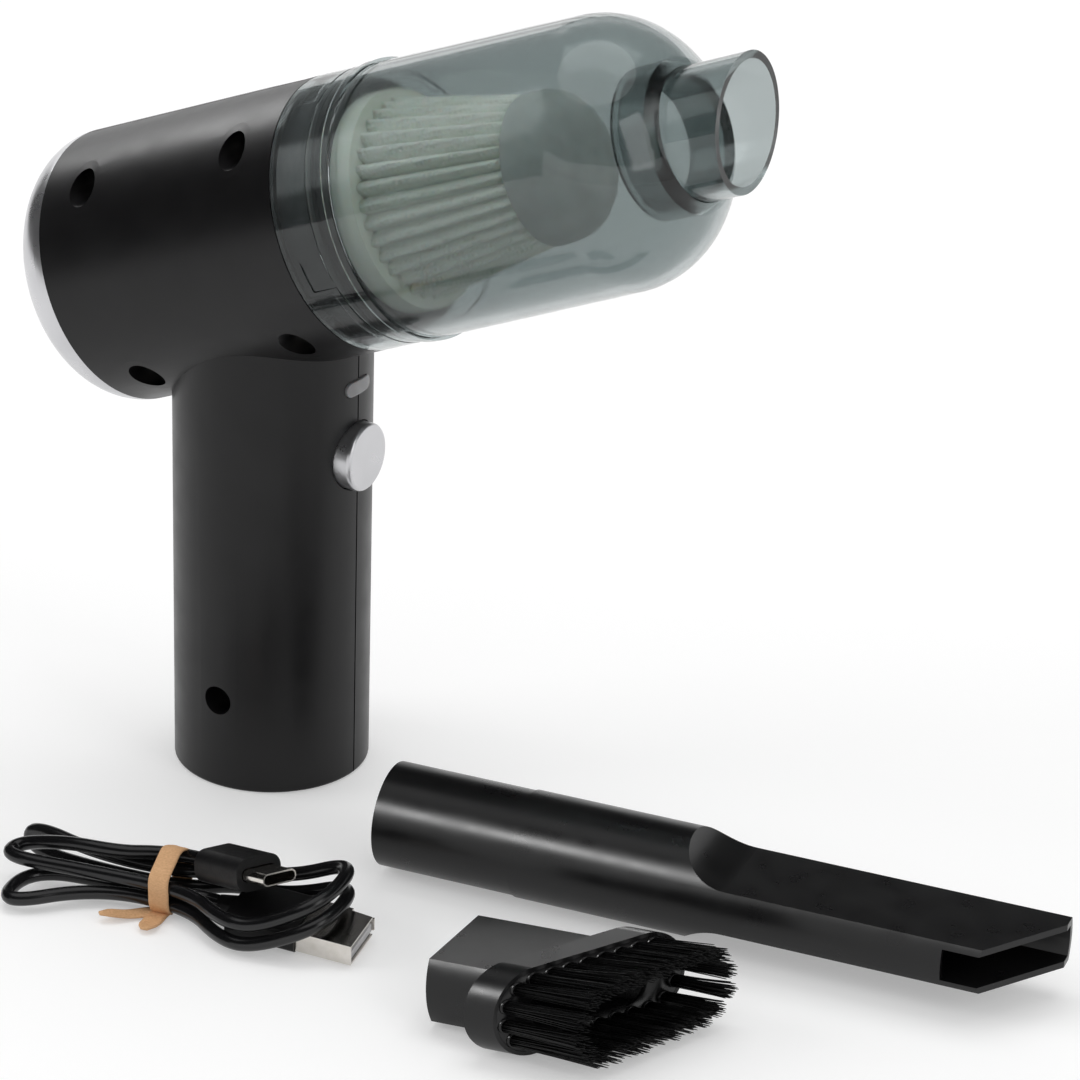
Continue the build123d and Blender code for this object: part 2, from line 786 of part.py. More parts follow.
def flattened_bar(radius, length, flat_half, scoop_radius):
    """A round bar whose front is planed flat above and below, with scooped shoulders."""
    with BuildSketch(tool_section) as round_end:
        Circle(radius)
    extrude(round_end.sketch, amount=length)
    scoop_top = flat_half + scoop_radius
    for side in (1, -1):
        with BuildSketch(tool_side) as scoop:
            with BuildLine():
                Polyline(
                    (tool_flat_start, side * flat_half),
                    (length + 1, side * flat_half),
                    (length + 1, side * scoop_top),
                    (tool_flat_start - scoop_radius, side * scoop_top),
                )
                RadiusArc(
                    (tool_flat_start - scoop_radius, side * scoop_top),
                    (tool_flat_start, side * flat_half),
                    side * -scoop_radius,
                )
            make_face()
        extrude(scoop.sketch, amount=2 * radius, both=True, mode=Mode.SUBTRACT)


with BuildPart() as tool_hollow:
    flattened_bar(
        tool_radius - tool_wall, tool_length + 1, tool_flat_half - tool_wall, tool_scoop_radius + tool_wall
    )

with BuildPart() as crevice_tool:
    flattened_bar(tool_radius, tool_length, tool_flat_half, tool_scoop_radius)
    add(tool_hollow.part, mode=Mode.SUBTRACT)
    # Round end, turned down a little where it goes into the inlet
    with BuildSketch(tool_section) as shoulder:
        Circle(tool_radius + tool_shoulder)
        Circle(tool_fit_radius, mode=Mode.SUBTRACT)
    extrude(shoulder.sketch, amount=tool_fit_length, mode=Mode.SUBTRACT)
    # Slanted mouth, and the near wall cut back between the two plates
    with BuildSketch(tool_plan):
        with BuildLine():
            Polyline(
                (tool_near_corner, -tool_radius),
                (tool_length, tool_radius - tool_far_flat),
                (tool_length + tool_radius, tool_radius - tool_far_flat),
                (tool_length + tool_radius, -tool_radius),
                close=True,
            )
        make_face()
    extrude(amount=2 * tool_radius, both=True, mode=Mode.SUBTRACT)
    with BuildSketch(tool_plan):
        with Locations((tool_near_corner, -tool_radius)):
            Rectangle(2 * tool_notch, tool_radius)
    extrude(amount=tool_flat_half - tool_wall, both=True, mode=Mode.SUBTRACT)

# Brush: a socket that slips over the crevice tool's tip, and a slanted oval collar of bristles
socket_half = tool_flat_half + slip_gap
socket_radius = tool_radius + slip_gap
plug_half = socket_half + brush_flat_wall
plug_radius = socket_radius + brush_wall
plug_flat = sqrt(plug_radius**2 - plug_half**2)
# It rests on the collar's lower edge and on one corner of the plug's end
slant_angle = radians(brush_slant)
flare_end = brush_plug_length + brush_flare
rest_span = flare_end * cos(slant_angle) + plug_flat * sin(slant_angle)
brush_tilt = atan((brush_collar_half_height - plug_half) / rest_span)
brush_turn = radians(brush_heading)
flat_ahead = Vector(cos(brush_turn), sin(brush_turn), 0)
flat_left = Vector(-sin(brush_turn), cos(brush_turn), 0)
slanted_left = flat_left * cos(slant_angle) + flat_ahead * sin(slant_angle)
flat_normal = flat_ahead * cos(slant_angle) - flat_left * sin(slant_angle)
slanted_normal = flat_normal * cos(brush_tilt) + Vector(0, 0, 1) * sin(brush_tilt)
brush_up = Vector(0, 0, 1) * cos(brush_tilt) - flat_normal * sin(brush_tilt)
brush_ahead = slanted_normal * cos(slant_angle) + slanted_left * sin(slant_angle)
brush_left = slanted_left * cos(slant_angle) - slanted_normal * sin(slant_angle)
brush_rest = brush_collar_half_height * brush_up.Z - flare_end * brush_ahead.Z
brush_origin = Vector(brush_x, brush_y, brush_rest)
brush_section = Plane(brush_origin, x_dir=brush_left, z_dir=brush_ahead)
collar_half_width = brush_collar_half_width / cos(slant_angle)
opening_half_width = socket_radius / cos(slant_angle)


def slanted_plane(along):
    """A plane across the brush, parallel to its slanted face."""
    return Plane(brush_origin + brush_ahead * along, x_dir=slanted_left, z_dir=slanted_normal)


def brush_bar(radius, half, start, end, mode=Mode.ADD):
    """A bar of the socket's section: a circle cut flat above and below."""
    with BuildSketch(brush_section.offset(start)) as bar_section:
        Circle(radius)
        Rectangle(2 * radius, 2 * half, mode=Mode.INTERSECT)
    extrude(bar_section.sketch, amount=end - start, mode=mode)


collar_end = brush_plug_length + brush_collar_depth
plug_overrun = plug_radius * tan(slant_angle) + brush_collar_depth
slice_start = collar_end - bristle_slice
slice_outer_width = collar_half_width - brush_rim
slice_outer_height = brush_collar_half_height - brush_rim
slice_inner_width = opening_half_width
slice_inner_height = socket_half
with BuildPart() as brush_head:
    brush_bar(plug_radius, plug_half, 0, brush_plug_length + plug_overrun)
    split(bisect_by=slanted_plane(collar_end), keep=Keep.BOTTOM)
    # The collar flares out from the plug and then runs straight to its face
    root_share = brush_flare_root / brush_flare
    root_width = plug_radius - (brush_collar_half_width - plug_radius) * root_share
    root_height = plug_half - (brush_collar_half_height - plug_half) * root_share
    with BuildSketch(slanted_plane(brush_plug_length - brush_flare_root)) as flare_start:
        SlotOverall(2 * root_width / cos(slant_angle), 2 * root_height)
    with BuildSketch(slanted_plane(flare_end)) as flare_rim:
        SlotOverall(2 * collar_half_width, 2 * brush_collar_half_height)
    loft([flare_start.sketch, flare_rim.sketch], ruled=True)
    extrude(flare_rim.sketch, amount=brush_collar_depth - brush_flare, dir=brush_ahead)
    brush_bar(socket_radius, socket_half, -1, brush_plug_length + 2 * plug_overrun, mode=Mode.SUBTRACT)
    with BuildSketch(slanted_plane(slice_start)) as plate_seat:
        SlotOverall(2 * slice_outer_width, 2 * slice_outer_height)
    extrude(plate_seat.sketch, amount=brush_collar_depth, dir=brush_ahead, mode=Mode.SUBTRACT)


def oval_point(share, half_width, half_height):
    """A point on a slot's outline, at a share of the way round it."""
    straight = 2 * (half_width - half_height)
    bend = pi * half_height
    travel = share * 2 * (straight + bend)
    if travel < straight:
        return (-straight / 2 + travel, half_height)
    if travel < straight + bend:
        angle = pi / 2 - (travel - straight) / half_height
        return (straight / 2 + half_height * cos(angle), half_height * sin(angle))
    if travel < 2 * straight + bend:
        return (straight / 2 - (travel - straight - bend), -half_height)
    angle = -pi / 2 - (travel - 2 * straight - bend) / half_height
    return (-straight / 2 + half_height * cos(angle), half_height * sin(angle))


# Strand places within a tuft: a middle one and two rings of five and eight
tuft_places = [(0.0, 0.0)]
for ring_number, ring_count in ((1, 5), (2, 8)):
    for step in range(ring_count):
        angle = 2 * pi * step / ring_count
        strand_radius = ring_number * bristle_pitch
        tuft_places.append((strand_radius * cos(angle), strand_radius * sin(angle)))
strand_places = []
for tuft in range(tuft_count):
    middle = oval_point(
        tuft / tuft_count, collar_half_width - bristle_inset, brush_collar_half_height - bristle_inset
    )
    strand_places += [(middle[0] + dx, middle[1] + dy) for dx, dy in tuft_places]

with BuildPart() as brush_bristles:
    with BuildSketch(slanted_plane(slice_start)):
        SlotOverall(2 * (slice_outer_width - seat_gap), 2 * (slice_outer_height - seat_gap))
        SlotOverall(
            2 * (slice_inner_width + seat_gap), 2 * (slice_inner_height + seat_gap), mode=Mode.SUBTRACT
        )
    extrude(amount=bristle_slice, dir=brush_ahead)
    with BuildSketch(slanted_plane(slice_start + bristle_slice / 2)):
        with Locations(*strand_places):
            Rectangle(bristle_side, bristle_side)
    extrude(amount=2 * bristle_length, dir=brush_ahead)
    # Tips trimmed to a slant of their own
    trim_angle = radians(bristle_slant)
    trim_left = brush_left * cos(trim_angle) + brush_ahead * sin(trim_angle)
    trim_place = brush_origin + brush_ahead * (collar_end + bristle_length)
    trim = Plane(trim_place, x_dir=trim_left, z_dir=trim_left.cross(brush_up))
    split(bisect_by=trim, keep=Keep.BOTTOM)
print("bristle strands", len(strand_places))


# Plugs on the cable
def plug_plane(x, y, height, heading, pitch, roll):
    """A plug's frame at its tip: x across its width, z out of the tip."""
    turned, tipped, rolled = radians(heading), radians(pitch), radians(roll)
    ahead = Vector(cos(turned) * cos(tipped), sin(turned) * cos(tipped), sin(tipped))
    flat_left = Vector(-sin(turned), cos(turned), 0)
    flat_up = ahead.cross(flat_left)
    left = flat_left * cos(rolled) + flat_up * sin(rolled)
    return Plane((x, y, height), x_dir=left, z_dir=ahead)


usb_a = plug_plane(usb_a_x, usb_a_y, usb_a_height, usb_a_heading, usb_a_pitch, usb_a_roll)
usb_c = plug_plane(usb_c_x, usb_c_y, usb_c_height, usb_c_heading, usb_c_pitch, usb_c_roll)


def mould(frame, width, thickness, edge_radius, length, shell_length, relief_length):
    """A plug's rounded grip and the tapered relief behind it."""
    with BuildSketch(frame.offset(-shell_length)) as grip:
        RectangleRounded(width, thickness, edge_radius)
    extrude(grip.sketch, amount=-length)
    with BuildSketch(frame.offset(-shell_length - length)) as relief_root:
        Circle(relief_radius)
    with BuildSketch(frame.offset(-shell_length - length - relief_length)) as relief_tip:
        Circle(cable_radius + seat_gap)
    loft([relief_root.sketch, relief_tip.sketch])


with BuildPart() as usb_a_overmould:
    mould(
        usb_a,
        usb_a_mould_width,
        usb_a_mould_thickness,
        usb_a_edge_radius,
        usb_a_mould_length,
        usb_a_shell_length,
        usb_a_relief_length,
    )
    with BuildSketch(usb_a.offset(-usb_a_shell_length)):
        Rectangle(usb_a_shell_width + 2 * seat_gap, usb_a_shell_thickness + 2 * seat_gap)
    extrude(amount=-shell_insert, mode=Mode.SUBTRACT)

with BuildPart() as usb_a_shell:
    with BuildSketch(usb_a):
        Rectangle(usb_a_shell_width, usb_a_shell_thickness)
        Rectangle(
            usb_a_shell_width - 2 * usb_a_shell_wall,
            usb_a_shell_thickness - 2 * usb_a_shell_wall,
            mode=Mode.SUBTRACT,
        )
    extrude(amount=-usb_a_shell_length - shell_insert)
    # Four square latch windows, two in each broad face
    with BuildSketch(usb_a.rotated((90, 0, 0))):
        with Locations((0, -usb_a_shell_length / 2)):
            with GridLocations(usb_a_shell_width * 0.4, 0, 2, 1):
                Rectangle(2.0, 2.4)
    extrude(amount=usb_a_shell_thickness, both=True, mode=Mode.SUBTRACT)

with BuildPart() as usb_a_tongue:
    with BuildSketch(usb_a.offset(-0.5)):
        with Locations((0, -usb_a_shell_thickness / 2 + usb_a_shell_wall + seat_gap + 0.9)):
            Rectangle(usb_a_shell_width - 2 * usb_a_shell_wall - 2 * seat_gap, 1.8)
    extrude(amount=-usb_a_shell_length - shell_insert + 0.5)

with BuildPart() as usb_c_overmould:
    mould(
        usb_c,
        usb_c_mould_width,
        usb_c_mould_thickness,
        usb_c_edge_radius,
        usb_c_mould_length,
        usb_c_shell_length,
        usb_c_relief_length,
    )
    with BuildSketch(usb_c.offset(-usb_c_shell_length)):
        SlotOverall(usb_c_shell_width + 2 * seat_gap, usb_c_shell_thickness + 2 * seat_gap)
    extrude(amount=-shell_insert, mode=Mode.SUBTRACT)

with BuildPart() as usb_c_shell:
    with BuildSketch(usb_c):
        SlotOverall(usb_c_shell_width, usb_c_shell_thickness)
        SlotOverall(
            usb_c_shell_width - 2 * usb_c_shell_wall,
            usb_c_shell_thickness - 2 * usb_c_shell_wall,
            mode=Mode.SUBTRACT,
        )
    extrude(amount=-usb_c_shell_length - shell_insert)

# Charging cable: six times through the hank's waist, with three loops on the left and two on the right
hank_turn = radians(hank_heading)
hank_ahead = Vector(cos(hank_turn), sin(hank_turn), 0)
hank_left = Vector(-sin(hank_turn), cos(hank_turn), 0)


def hank_point(ahead, left, height):
    """A point of the hank, measured from the middle of its waist."""
    return Vector(hank_x, hank_y, height) + hank_ahead * ahead + hank_left * left


waist_top = layer_high + 2 * cable_radius + 2 * tie_gap
# The right loops run either side of the USB-A plug's grip and end over its shell
grip_middle = usb_a.origin - usb_a.z_dir * (usb_a_shell_length + usb_a_mould_length / 2)
grip_left = (grip_middle - hank_point(0, 0, 0)).dot(hank_left)
run_half = usb_a_mould_width / 2 + cable_radius + run_margin
near_run = grip_left - run_half
far_run = grip_left + run_half
over_plug = usb_a_height + usb_a_shell_thickness / 2 + usb_a_shell_width / 2 * sin(usb_a_lean) + cable_radius
low_loop = over_plug + 1.3
high_loop = low_loop + strand_step + 0.3
# Waist crossings, as (column, height), in the order that the cable takes them
waist = [
    (0, layer_low),
    (-strand_step, layer_low),
    (strand_step, layer_low),
    (strand_step, layer_high),
    (-strand_step, layer_high),
    (strand_step, waist_top),
]
# Loops between them, each as knots of (reach, sideways place, height, direction, width of the bend)
upright = Vector(0, 0, 1)
loops = [
    [(-left_reach + 4.0, -left_fan, layer_low, -hank_left, left_loop_width)],
    [
        (loop_run, near_run, layer_low, hank_ahead, 0),
        (right_reach, -1.0, low_loop, hank_left, right_loop_width),
        (loop_run, far_run, layer_low + 0.6, -hank_ahead, 0),
    ],
    [(-left_reach - 0.5, left_fan - 1.5, (layer_low + layer_high) / 2, upright, fold_width)],
    [
        (loop_run, far_run + 0.6, layer_high + 0.8, hank_ahead, 0),
        (right_reach - 1.0, 1.0, high_loop, -hank_left, right_loop_width),
        (loop_run, near_run + 0.8, layer_high + 0.4, -hank_ahead, 0),
    ],
    [
        (-left_reach, -strand_step / 2, layer_high + 0.3, hank_left, fold_width),
        (-climb_reach, 0, waist_top - climb_drop, hank_ahead, 0),
    ],
]

usb_a_exit = usb_a.origin - usb_a.z_dir * (usb_a_shell_length + usb_a_mould_length + usb_a_relief_length)
usb_c_exit = usb_c.origin - usb_c.z_dir * (usb_c_shell_length + usb_c_mould_length + usb_c_relief_length)
stub = 2 * cable_radius
# Knots of the cable's line, as (point, direction, width of the bend)
knots = [(usb_a_exit - usb_a.z_dir * stub, -usb_a.z_dir, 0)]
for crossing, (column, height) in enumerate(waist):
    heading = -hank_ahead if crossing % 2 == 0 else hank_ahead
    if crossing == len(waist) - 1:
        heading = (hank_ahead + upright * waist_climb).normalized()
    knots.append((hank_point(0, column, height), heading, 0))
    if crossing < len(loops):
        for reach, place, height, heading, width in loops[crossing]:
            knots.append((hank_point(reach, place, height), heading, width))
knots.append((usb_c_exit - usb_c.z_dir * stub, usb_c.z_dir, 0))


def bend(start, corner, end):
    """The middle point of the arc that leaves start towards corner and ends at end."""
    middle = (start + end) * 0.5
    half = (end - start).length / 2
    rise = corner - middle
    angle = atan(rise.length / half)
    return middle + rise.normalized() * (half * tan(angle / 2))


def two_arcs(start, start_way, end, end_way, start_reach, end_reach):
    """Two arcs that run smoothly from one point and direction to another."""
    span = end - start
    if end_reach > 0:
        reach = end_reach
        lead = (span.dot(span) - 2 * reach * span.dot(end_way)) / (
            2 * (span.dot(start_way) + reach * (1 - start_way.dot(end_way)))
        )
    elif start_reach > 0:
        lead = start_reach
        reach = (span.dot(span) - 2 * lead * span.dot(start_way)) / (
            2 * (span.dot(end_way) + lead * (1 - start_way.dot(end_way)))
        )
    else:
        both = start_way + end_way
        square = 2 * (1 - start_way.dot(end_way))
        linear = 2 * span.dot(both)
        if square < 1e-6:
            lead = span.dot(span) / linear
        else:
            lead = (-linear + sqrt(linear**2 + 4 * square * span.dot(span))) / (2 * square)
        reach = lead
    first = start + start_way * lead
    second = end - end_way * reach
    joint = first + (second - first) * (lead / (lead + reach))
    return [(start, bend(start, first, joint), joint), (joint, bend(joint, second, end), end)]


arcs = []
for (start, start_way, start_width), (end, end_way, end_width) in zip(knots, knots[1:]):
    arcs += two_arcs(start, start_way, end, end_way, start_width, end_width)

with BuildPart() as charging_cable:
    with BuildLine() as cable_line:
        Line(usb_a_exit, knots[0][0])
        for arc_start, arc_middle, arc_end in arcs:
            ThreePointArc(arc_start, arc_middle, arc_end)
        Line(knots[-1][0], usb_c_exit)
    with BuildSketch(Plane(usb_a_exit, z_dir=-usb_a.z_dir)) as cable_section:
        Circle(cable_radius)
    sweep(cable_section.sketch, path=cable_line.line)

cable_length = sum(edge.length for edge in cable_line.edges())
print("cable length", round(cable_length, 1), "volume ratio",
      round(charging_cable.part.volume / (pi * cable_radius**2 * cable_length), 4))
samples = []
travelled = 0.0
for edge in cable_line.edges():
    pieces = max(2, int(edge.length / 1.0))
    for piece in range(pieces):
        samples.append((travelled + edge.length * piece / pieces, edge @ (piece / pieces)))
    travelled += edge.length
least_gap = min(
    (one[1] - other[1]).length - 2 * cable_radius
    for number, one in enumerate(samples)
    for other in samples[number + 1:]
    if other[0] - one[0] > 4 * cable_radius
)
print("least gap of the cable to itself", round(least_gap, 2))
bends = [edge for edge in cable_line.edges() if edge.geom_type == GeomType.CIRCLE]
print("bend radii", [round(edge.radius, 1) for edge in bends])

# Paper tie round the waist, with two tails
tie_half_width = strand_step + cable_radius + 3 * tie_gap
tie_low = layer_low - cable_radius - tie_gap
tie_high = waist_top + cable_radius + 3 * tie_gap
tie_origin = hank_point(-tie_width / 2, 0, (tie_low + tie_high) / 2)
tie_section = Plane(tie_origin, x_dir=hank_left, z_dir=hank_ahead)
with BuildPart() as cable_tie:
    with BuildSketch(tie_section):
        RectangleRounded(2 * tie_half_width + 2 * tie_thickness, tie_high - tie_low + 2 * tie_thickness, 2.0)
        RectangleRounded(2 * tie_half_width, tie_high - tie_low, 1.6, mode=Mode.SUBTRACT)
    extrude(amount=tie_width)
    tail_start = hank_point(0, -tie_half_width + 1.0, tie_low - tie_thickness)
    for tail_heading in (-50.0, -10.0):
        tail_way = -hank_left.rotate(Axis.Z, tail_heading)
        with BuildSketch(Plane(tail_start, x_dir=tail_way, z_dir=(0, 0, 1))) as tail:
            with Locations((tie_tail_length / 2, 0)):
                Rectangle(tie_tail_length, tie_width * 0.7)
        extrude(tail.sketch, amount=tie_thickness)

pieces = {
    "housing_left": housing_left,
    "housing_right": housing_right,
    "housing_screws": housing_screws,
    "rear_cap": rear_cap,
    "exhaust_grille": exhaust_grille,
    "exhaust_foam": exhaust_foam,
    "motor_can": motor_can,
    "motor_end_cap": motor_end_cap,
    "motor_magnets": motor_magnets,
    "motor_armature": motor_armature,
    "motor_mount": motor_mount,
    "fan_shroud": fan_shroud,
    "diffuser_plate": diffuser_plate,
    "impeller": impeller,
    "cup_spigot": cup_spigot,
    "intake_grille": intake_grille,
    "battery_cells": battery_cells,
    "battery_holder": battery_holder,
    "control_board": control_board,
    "push_switch": push_switch,
    "indicator_led": indicator_led,
    "indicator_lens": indicator_lens,
    "power_button": power_button,
    "usb_c_socket": usb_c_socket,
    "charge_board": charge_board,
    "motor_leads": motor_leads,
    "filter_frame": filter_frame,
    "filter_media": filter_media,
    "filter_cap": filter_cap,
    "cup_seal": cup_seal,
    "dust_cup": dust_cup,
    "inlet_tube": inlet_tube,
    "crevice_tool": crevice_tool,
    "brush_head": brush_head,
    "brush_bristles": brush_bristles,
    "charging_cable": charging_cable,
    "usb_a_overmould": usb_a_overmould,
    "usb_a_shell": usb_a_shell,
    "usb_a_tongue": usb_a_tongue,
    "usb_c_overmould": usb_c_overmould,
    "usb_c_shell": usb_c_shell,
    "cable_tie": cable_tie,
}

os.makedirs("parts", exist_ok=True)
for name, piece in pieces.items():
    piece.part.label = name
    export_step(piece.part, f"parts/{name}.step")
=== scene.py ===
import math
import random

import bpy
from mathutils import Matrix, Vector, noise


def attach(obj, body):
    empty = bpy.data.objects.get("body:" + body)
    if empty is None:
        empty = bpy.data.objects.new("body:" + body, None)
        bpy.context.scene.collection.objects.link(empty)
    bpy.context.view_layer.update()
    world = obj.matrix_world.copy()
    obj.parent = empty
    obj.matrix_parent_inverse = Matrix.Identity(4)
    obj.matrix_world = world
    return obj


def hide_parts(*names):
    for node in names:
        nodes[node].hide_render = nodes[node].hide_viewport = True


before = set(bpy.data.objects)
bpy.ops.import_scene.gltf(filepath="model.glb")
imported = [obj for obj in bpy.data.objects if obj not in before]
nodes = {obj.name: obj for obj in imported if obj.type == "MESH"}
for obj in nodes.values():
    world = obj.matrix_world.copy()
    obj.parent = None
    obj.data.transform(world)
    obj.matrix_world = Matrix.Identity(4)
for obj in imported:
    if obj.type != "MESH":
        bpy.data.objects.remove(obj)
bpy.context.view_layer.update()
scene = bpy.context.scene
MM = 0.001
UP = Vector((0, 0, 1))
BARREL_TILT = math.radians(22.3)

# Camera at the photograph's viewing angle
camera_right = Vector((0.86614772, 0.49886807, 0.03031142))
camera_up = Vector((-0.22945796, 0.3430466, 0.91086117))
camera_ahead = Vector((-0.44400132, 0.79589552, -0.41159827))
camera_place = Vector((427.30, -649.56, 401.95)) * MM
camera_data = bpy.data.cameras.new("camera")
camera_data.lens = 133.84
camera_data.sensor_width = 36.0
camera_data.clip_start = 0.05
camera_data.clip_end = 60.0
camera = bpy.data.objects.new("camera", camera_data)
turned = Matrix((camera_right, camera_up, -camera_ahead)).transposed().to_4x4()
camera.matrix_world = Matrix.Translation(camera_place) @ turned
scene.collection.objects.link(camera)
scene.camera = camera


# Helpers for node materials
def new_material(name):
    material = bpy.data.materials.new(name)
    material.use_nodes = True
    tree = material.node_tree
    return material, tree, tree.nodes["Principled BSDF"]


def add_node(tree, kind, inputs=None, **settings):
    node = tree.nodes.new(kind)
    for key, value in settings.items():
        setattr(node, key, value)
    for key, value in (inputs or {}).items():
        if isinstance(value, bpy.types.NodeSocket):
            tree.links.new(value, node.inputs[key])
        else:
            node.inputs[key].default_value = value
    return node


def place_on(tree, stretch=(1, 1, 1), turn=(0, 0, 0)):
    """Object coordinates in metres, turned and then stretched."""
    spot = add_node(tree, "ShaderNodeTexCoord").outputs["Object"]
    inputs = {"Vector": spot, "Rotation": turn, "Scale": stretch}
    return add_node(tree, "ShaderNodeMapping", inputs).outputs["Vector"]


def grain(tree, size, detail=2.0, stretch=(1, 1, 1), turn=(0, 0, 0)):
    """Noise with features about as large as size, in millimetres."""
    inputs = {"Vector": place_on(tree, stretch, turn), "Scale": 1 / (size * MM), "Detail": detail}
    return add_node(tree, "ShaderNodeTexNoise", inputs).outputs["Fac"]


def between(tree, value, low, high, start=0.35, end=0.65):
    """Map a noise value onto a range."""
    inputs = {"Value": value, "From Min": start, "From Max": end, "To Min": low, "To Max": high}
    return add_node(tree, "ShaderNodeMapRange", inputs).outputs["Result"]


def blend_colours(tree, value, first, second):
    node = add_node(tree, "ShaderNodeMix", data_type="RGBA")
    tree.links.new(value, node.inputs["Factor"])
    node.inputs["A"].default_value = (*first, 1)
    node.inputs["B"].default_value = (*second, 1)
    return next(o for o in node.outputs if o.type == "RGBA")


def raise_surface(tree, value, height, strength=1.0, under=None):
    inputs = {"Height": value, "Distance": height * MM, "Strength": strength}
    if under is not None:
        inputs["Normal"] = under
    return add_node(tree, "ShaderNodeBump", inputs).outputs["Normal"]


def moulded(name, first, second, rough, grain_size=0.5, grain_height=0.006, patch=9.0, **sockets):
    """A moulded or coated surface: colour drifts slowly, gloss a little faster, over a fine grain."""
    material, tree, surface = new_material(name)
    drift = between(tree, grain(tree, patch), 0, 1)
    tree.links.new(blend_colours(tree, drift, first, second), surface.inputs["Base Color"])
    gloss = between(tree, grain(tree, patch / 3, 4.0), *rough)
    tree.links.new(gloss, surface.inputs["Roughness"])
    fine = raise_surface(tree, grain(tree, grain_size), grain_height)
    tree.links.new(fine, surface.inputs["Normal"])
    for key, value in sockets.items():
        surface.inputs[key.replace("_", " ")].default_value = value
    return material


def dress(material, *names):
    for name in names:
        piece = nodes[name]
        if not piece.data.materials:
            piece.data.materials.append(material)
        for slot in piece.material_slots:
            slot.material = material


# Housing, trim and hidden works
black_shell = moulded(
    "black_shell", (0.0052, 0.005, 0.0055), (0.0066, 0.0063, 0.0069), (0.34, 0.40),
    grain_size=0.45, grain_height=0.004, patch=22.0, Specular_IOR_Level=0.32,
)
silver_trim = moulded(
    "silver_trim", (0.58, 0.58, 0.595), (0.63, 0.63, 0.645), (0.27, 0.33),
    grain_size=0.3, grain_height=0.0025, patch=14.0, Metallic=0.9,
)
dark_plastic = moulded("dark_plastic", (0.018, 0.018, 0.02), (0.026, 0.026, 0.028), (0.45, 0.55))
black_tool = moulded(
    "black_tool", (0.005, 0.005, 0.0054), (0.0065, 0.0064, 0.0068), (0.27, 0.34),
    grain_size=1.6, grain_height=0.0004, patch=20.0, Specular_IOR_Level=0.36,
)
seal_rubber = moulded("seal_rubber", (0.012, 0.012, 0.013), (0.02, 0.02, 0.021), (0.5, 0.6))
filter_plastic = moulded(
    "filter_plastic", (0.86, 0.88, 0.77), (0.90, 0.91, 0.82), (0.38, 0.46),
    grain_size=0.6, patch=6.0, Subsurface_Weight=0.12, Subsurface_Scale=0.002,
)
cap_plastic = moulded(
    "cap_plastic", (0.37, 0.39, 0.37), (0.43, 0.45, 0.43), (0.58, 0.66),
    grain_size=0.5, patch=5.0, Subsurface_Weight=0.1, Subsurface_Scale=0.002, Specular_IOR_Level=0.3,
)
lead_red = moulded("lead_red", (0.42, 0.03, 0.03), (0.5, 0.05, 0.045), (0.38, 0.46))
lamp_white = moulded("lamp_white", (0.78, 0.78, 0.72), (0.85, 0.85, 0.8), (0.2, 0.3))
magnet_grey = moulded(
    "magnet_grey", (0.07, 0.07, 0.075), (0.11, 0.11, 0.115), (0.5, 0.65), grain_size=0.2,
)
tongue_white = moulded("tongue_white", (0.60, 0.59, 0.60), (0.68, 0.67, 0.68), (0.4, 0.5))
jacket = moulded(
    "cable_jacket", (0.0055, 0.0055, 0.006), (0.0075, 0.0075, 0.0082), (0.20, 0.27),
    grain_size=0.5, grain_height=0.003, patch=8.0, Specular_IOR_Level=0.48,
)
mould_black = moulded(
    "mould_black", (0.0048, 0.0047, 0.0052), (0.0068, 0.0067, 0.0072), (0.42, 0.52),
    grain_size=0.45, grain_height=0.03, patch=6.0, Specular_IOR_Level=0.3,
)


def plated_metal():
    """Plated sheet steel with a fine rolled grain."""
    material, tree, surface = new_material("plated_steel")
    drift = between(tree, grain(tree, 3.0), 0, 1)
    tone = blend_colours(tree, drift, (0.66, 0.63, 0.58), (0.74, 0.71, 0.67))
    tree.links.new(tone, surface.inputs["Base Color"])
    streak = grain(tree, 0.4, 3.0, (1, 12, 12))
    tree.links.new(between(tree, streak, 0.14, 0.24), surface.inputs["Roughness"])
    tree.links.new(raise_surface(tree, streak, 0.004), surface.inputs["Normal"])
    surface.inputs["Metallic"].default_value = 1.0
    return material


def open_foam():
    material, tree, surface = new_material("open_foam")
    inputs = {"Vector": place_on(tree), "Scale": 1 / (0.9 * MM)}
    cells = add_node(tree, "ShaderNodeTexVoronoi", inputs).outputs["Distance"]
    # Each cell is darker towards its middle, where the bump sinks it into a pore: painted shade in the
    # pores, not a colour of the foam
    pore_shade = between(tree, cells, 0, 1, 0.1, 0.7)
    tone = blend_colours(tree, pore_shade, (0.012, 0.012, 0.012), (0.06, 0.06, 0.06))
    tree.links.new(tone, surface.inputs["Base Color"])
    tree.links.new(raise_surface(tree, cells, 0.5), surface.inputs["Normal"])
    surface.inputs["Roughness"].default_value = 0.95
    return material


def laminated_core():
    """Steel laminations with copper windings between them."""
    material, tree, surface = new_material("laminated_core")
    along = place_on(tree, (1, 1, 1), (0, BARREL_TILT, 0))
    inputs = {"Vector": along, "Scale": 1 / (3.0 * MM), "Distortion": 0.4}
    bands = add_node(tree, "ShaderNodeTexWave", inputs).outputs["Fac"]
    tone = blend_colours(tree, bands, (0.20, 0.19, 0.18), (0.42, 0.20, 0.09))
    tree.links.new(tone, surface.inputs["Base Color"])
    tree.links.new(raise_surface(tree, bands, 0.08), surface.inputs["Normal"])
    surface.inputs["Metallic"].default_value = 0.8
    surface.inputs["Roughness"].default_value = 0.42
    return material


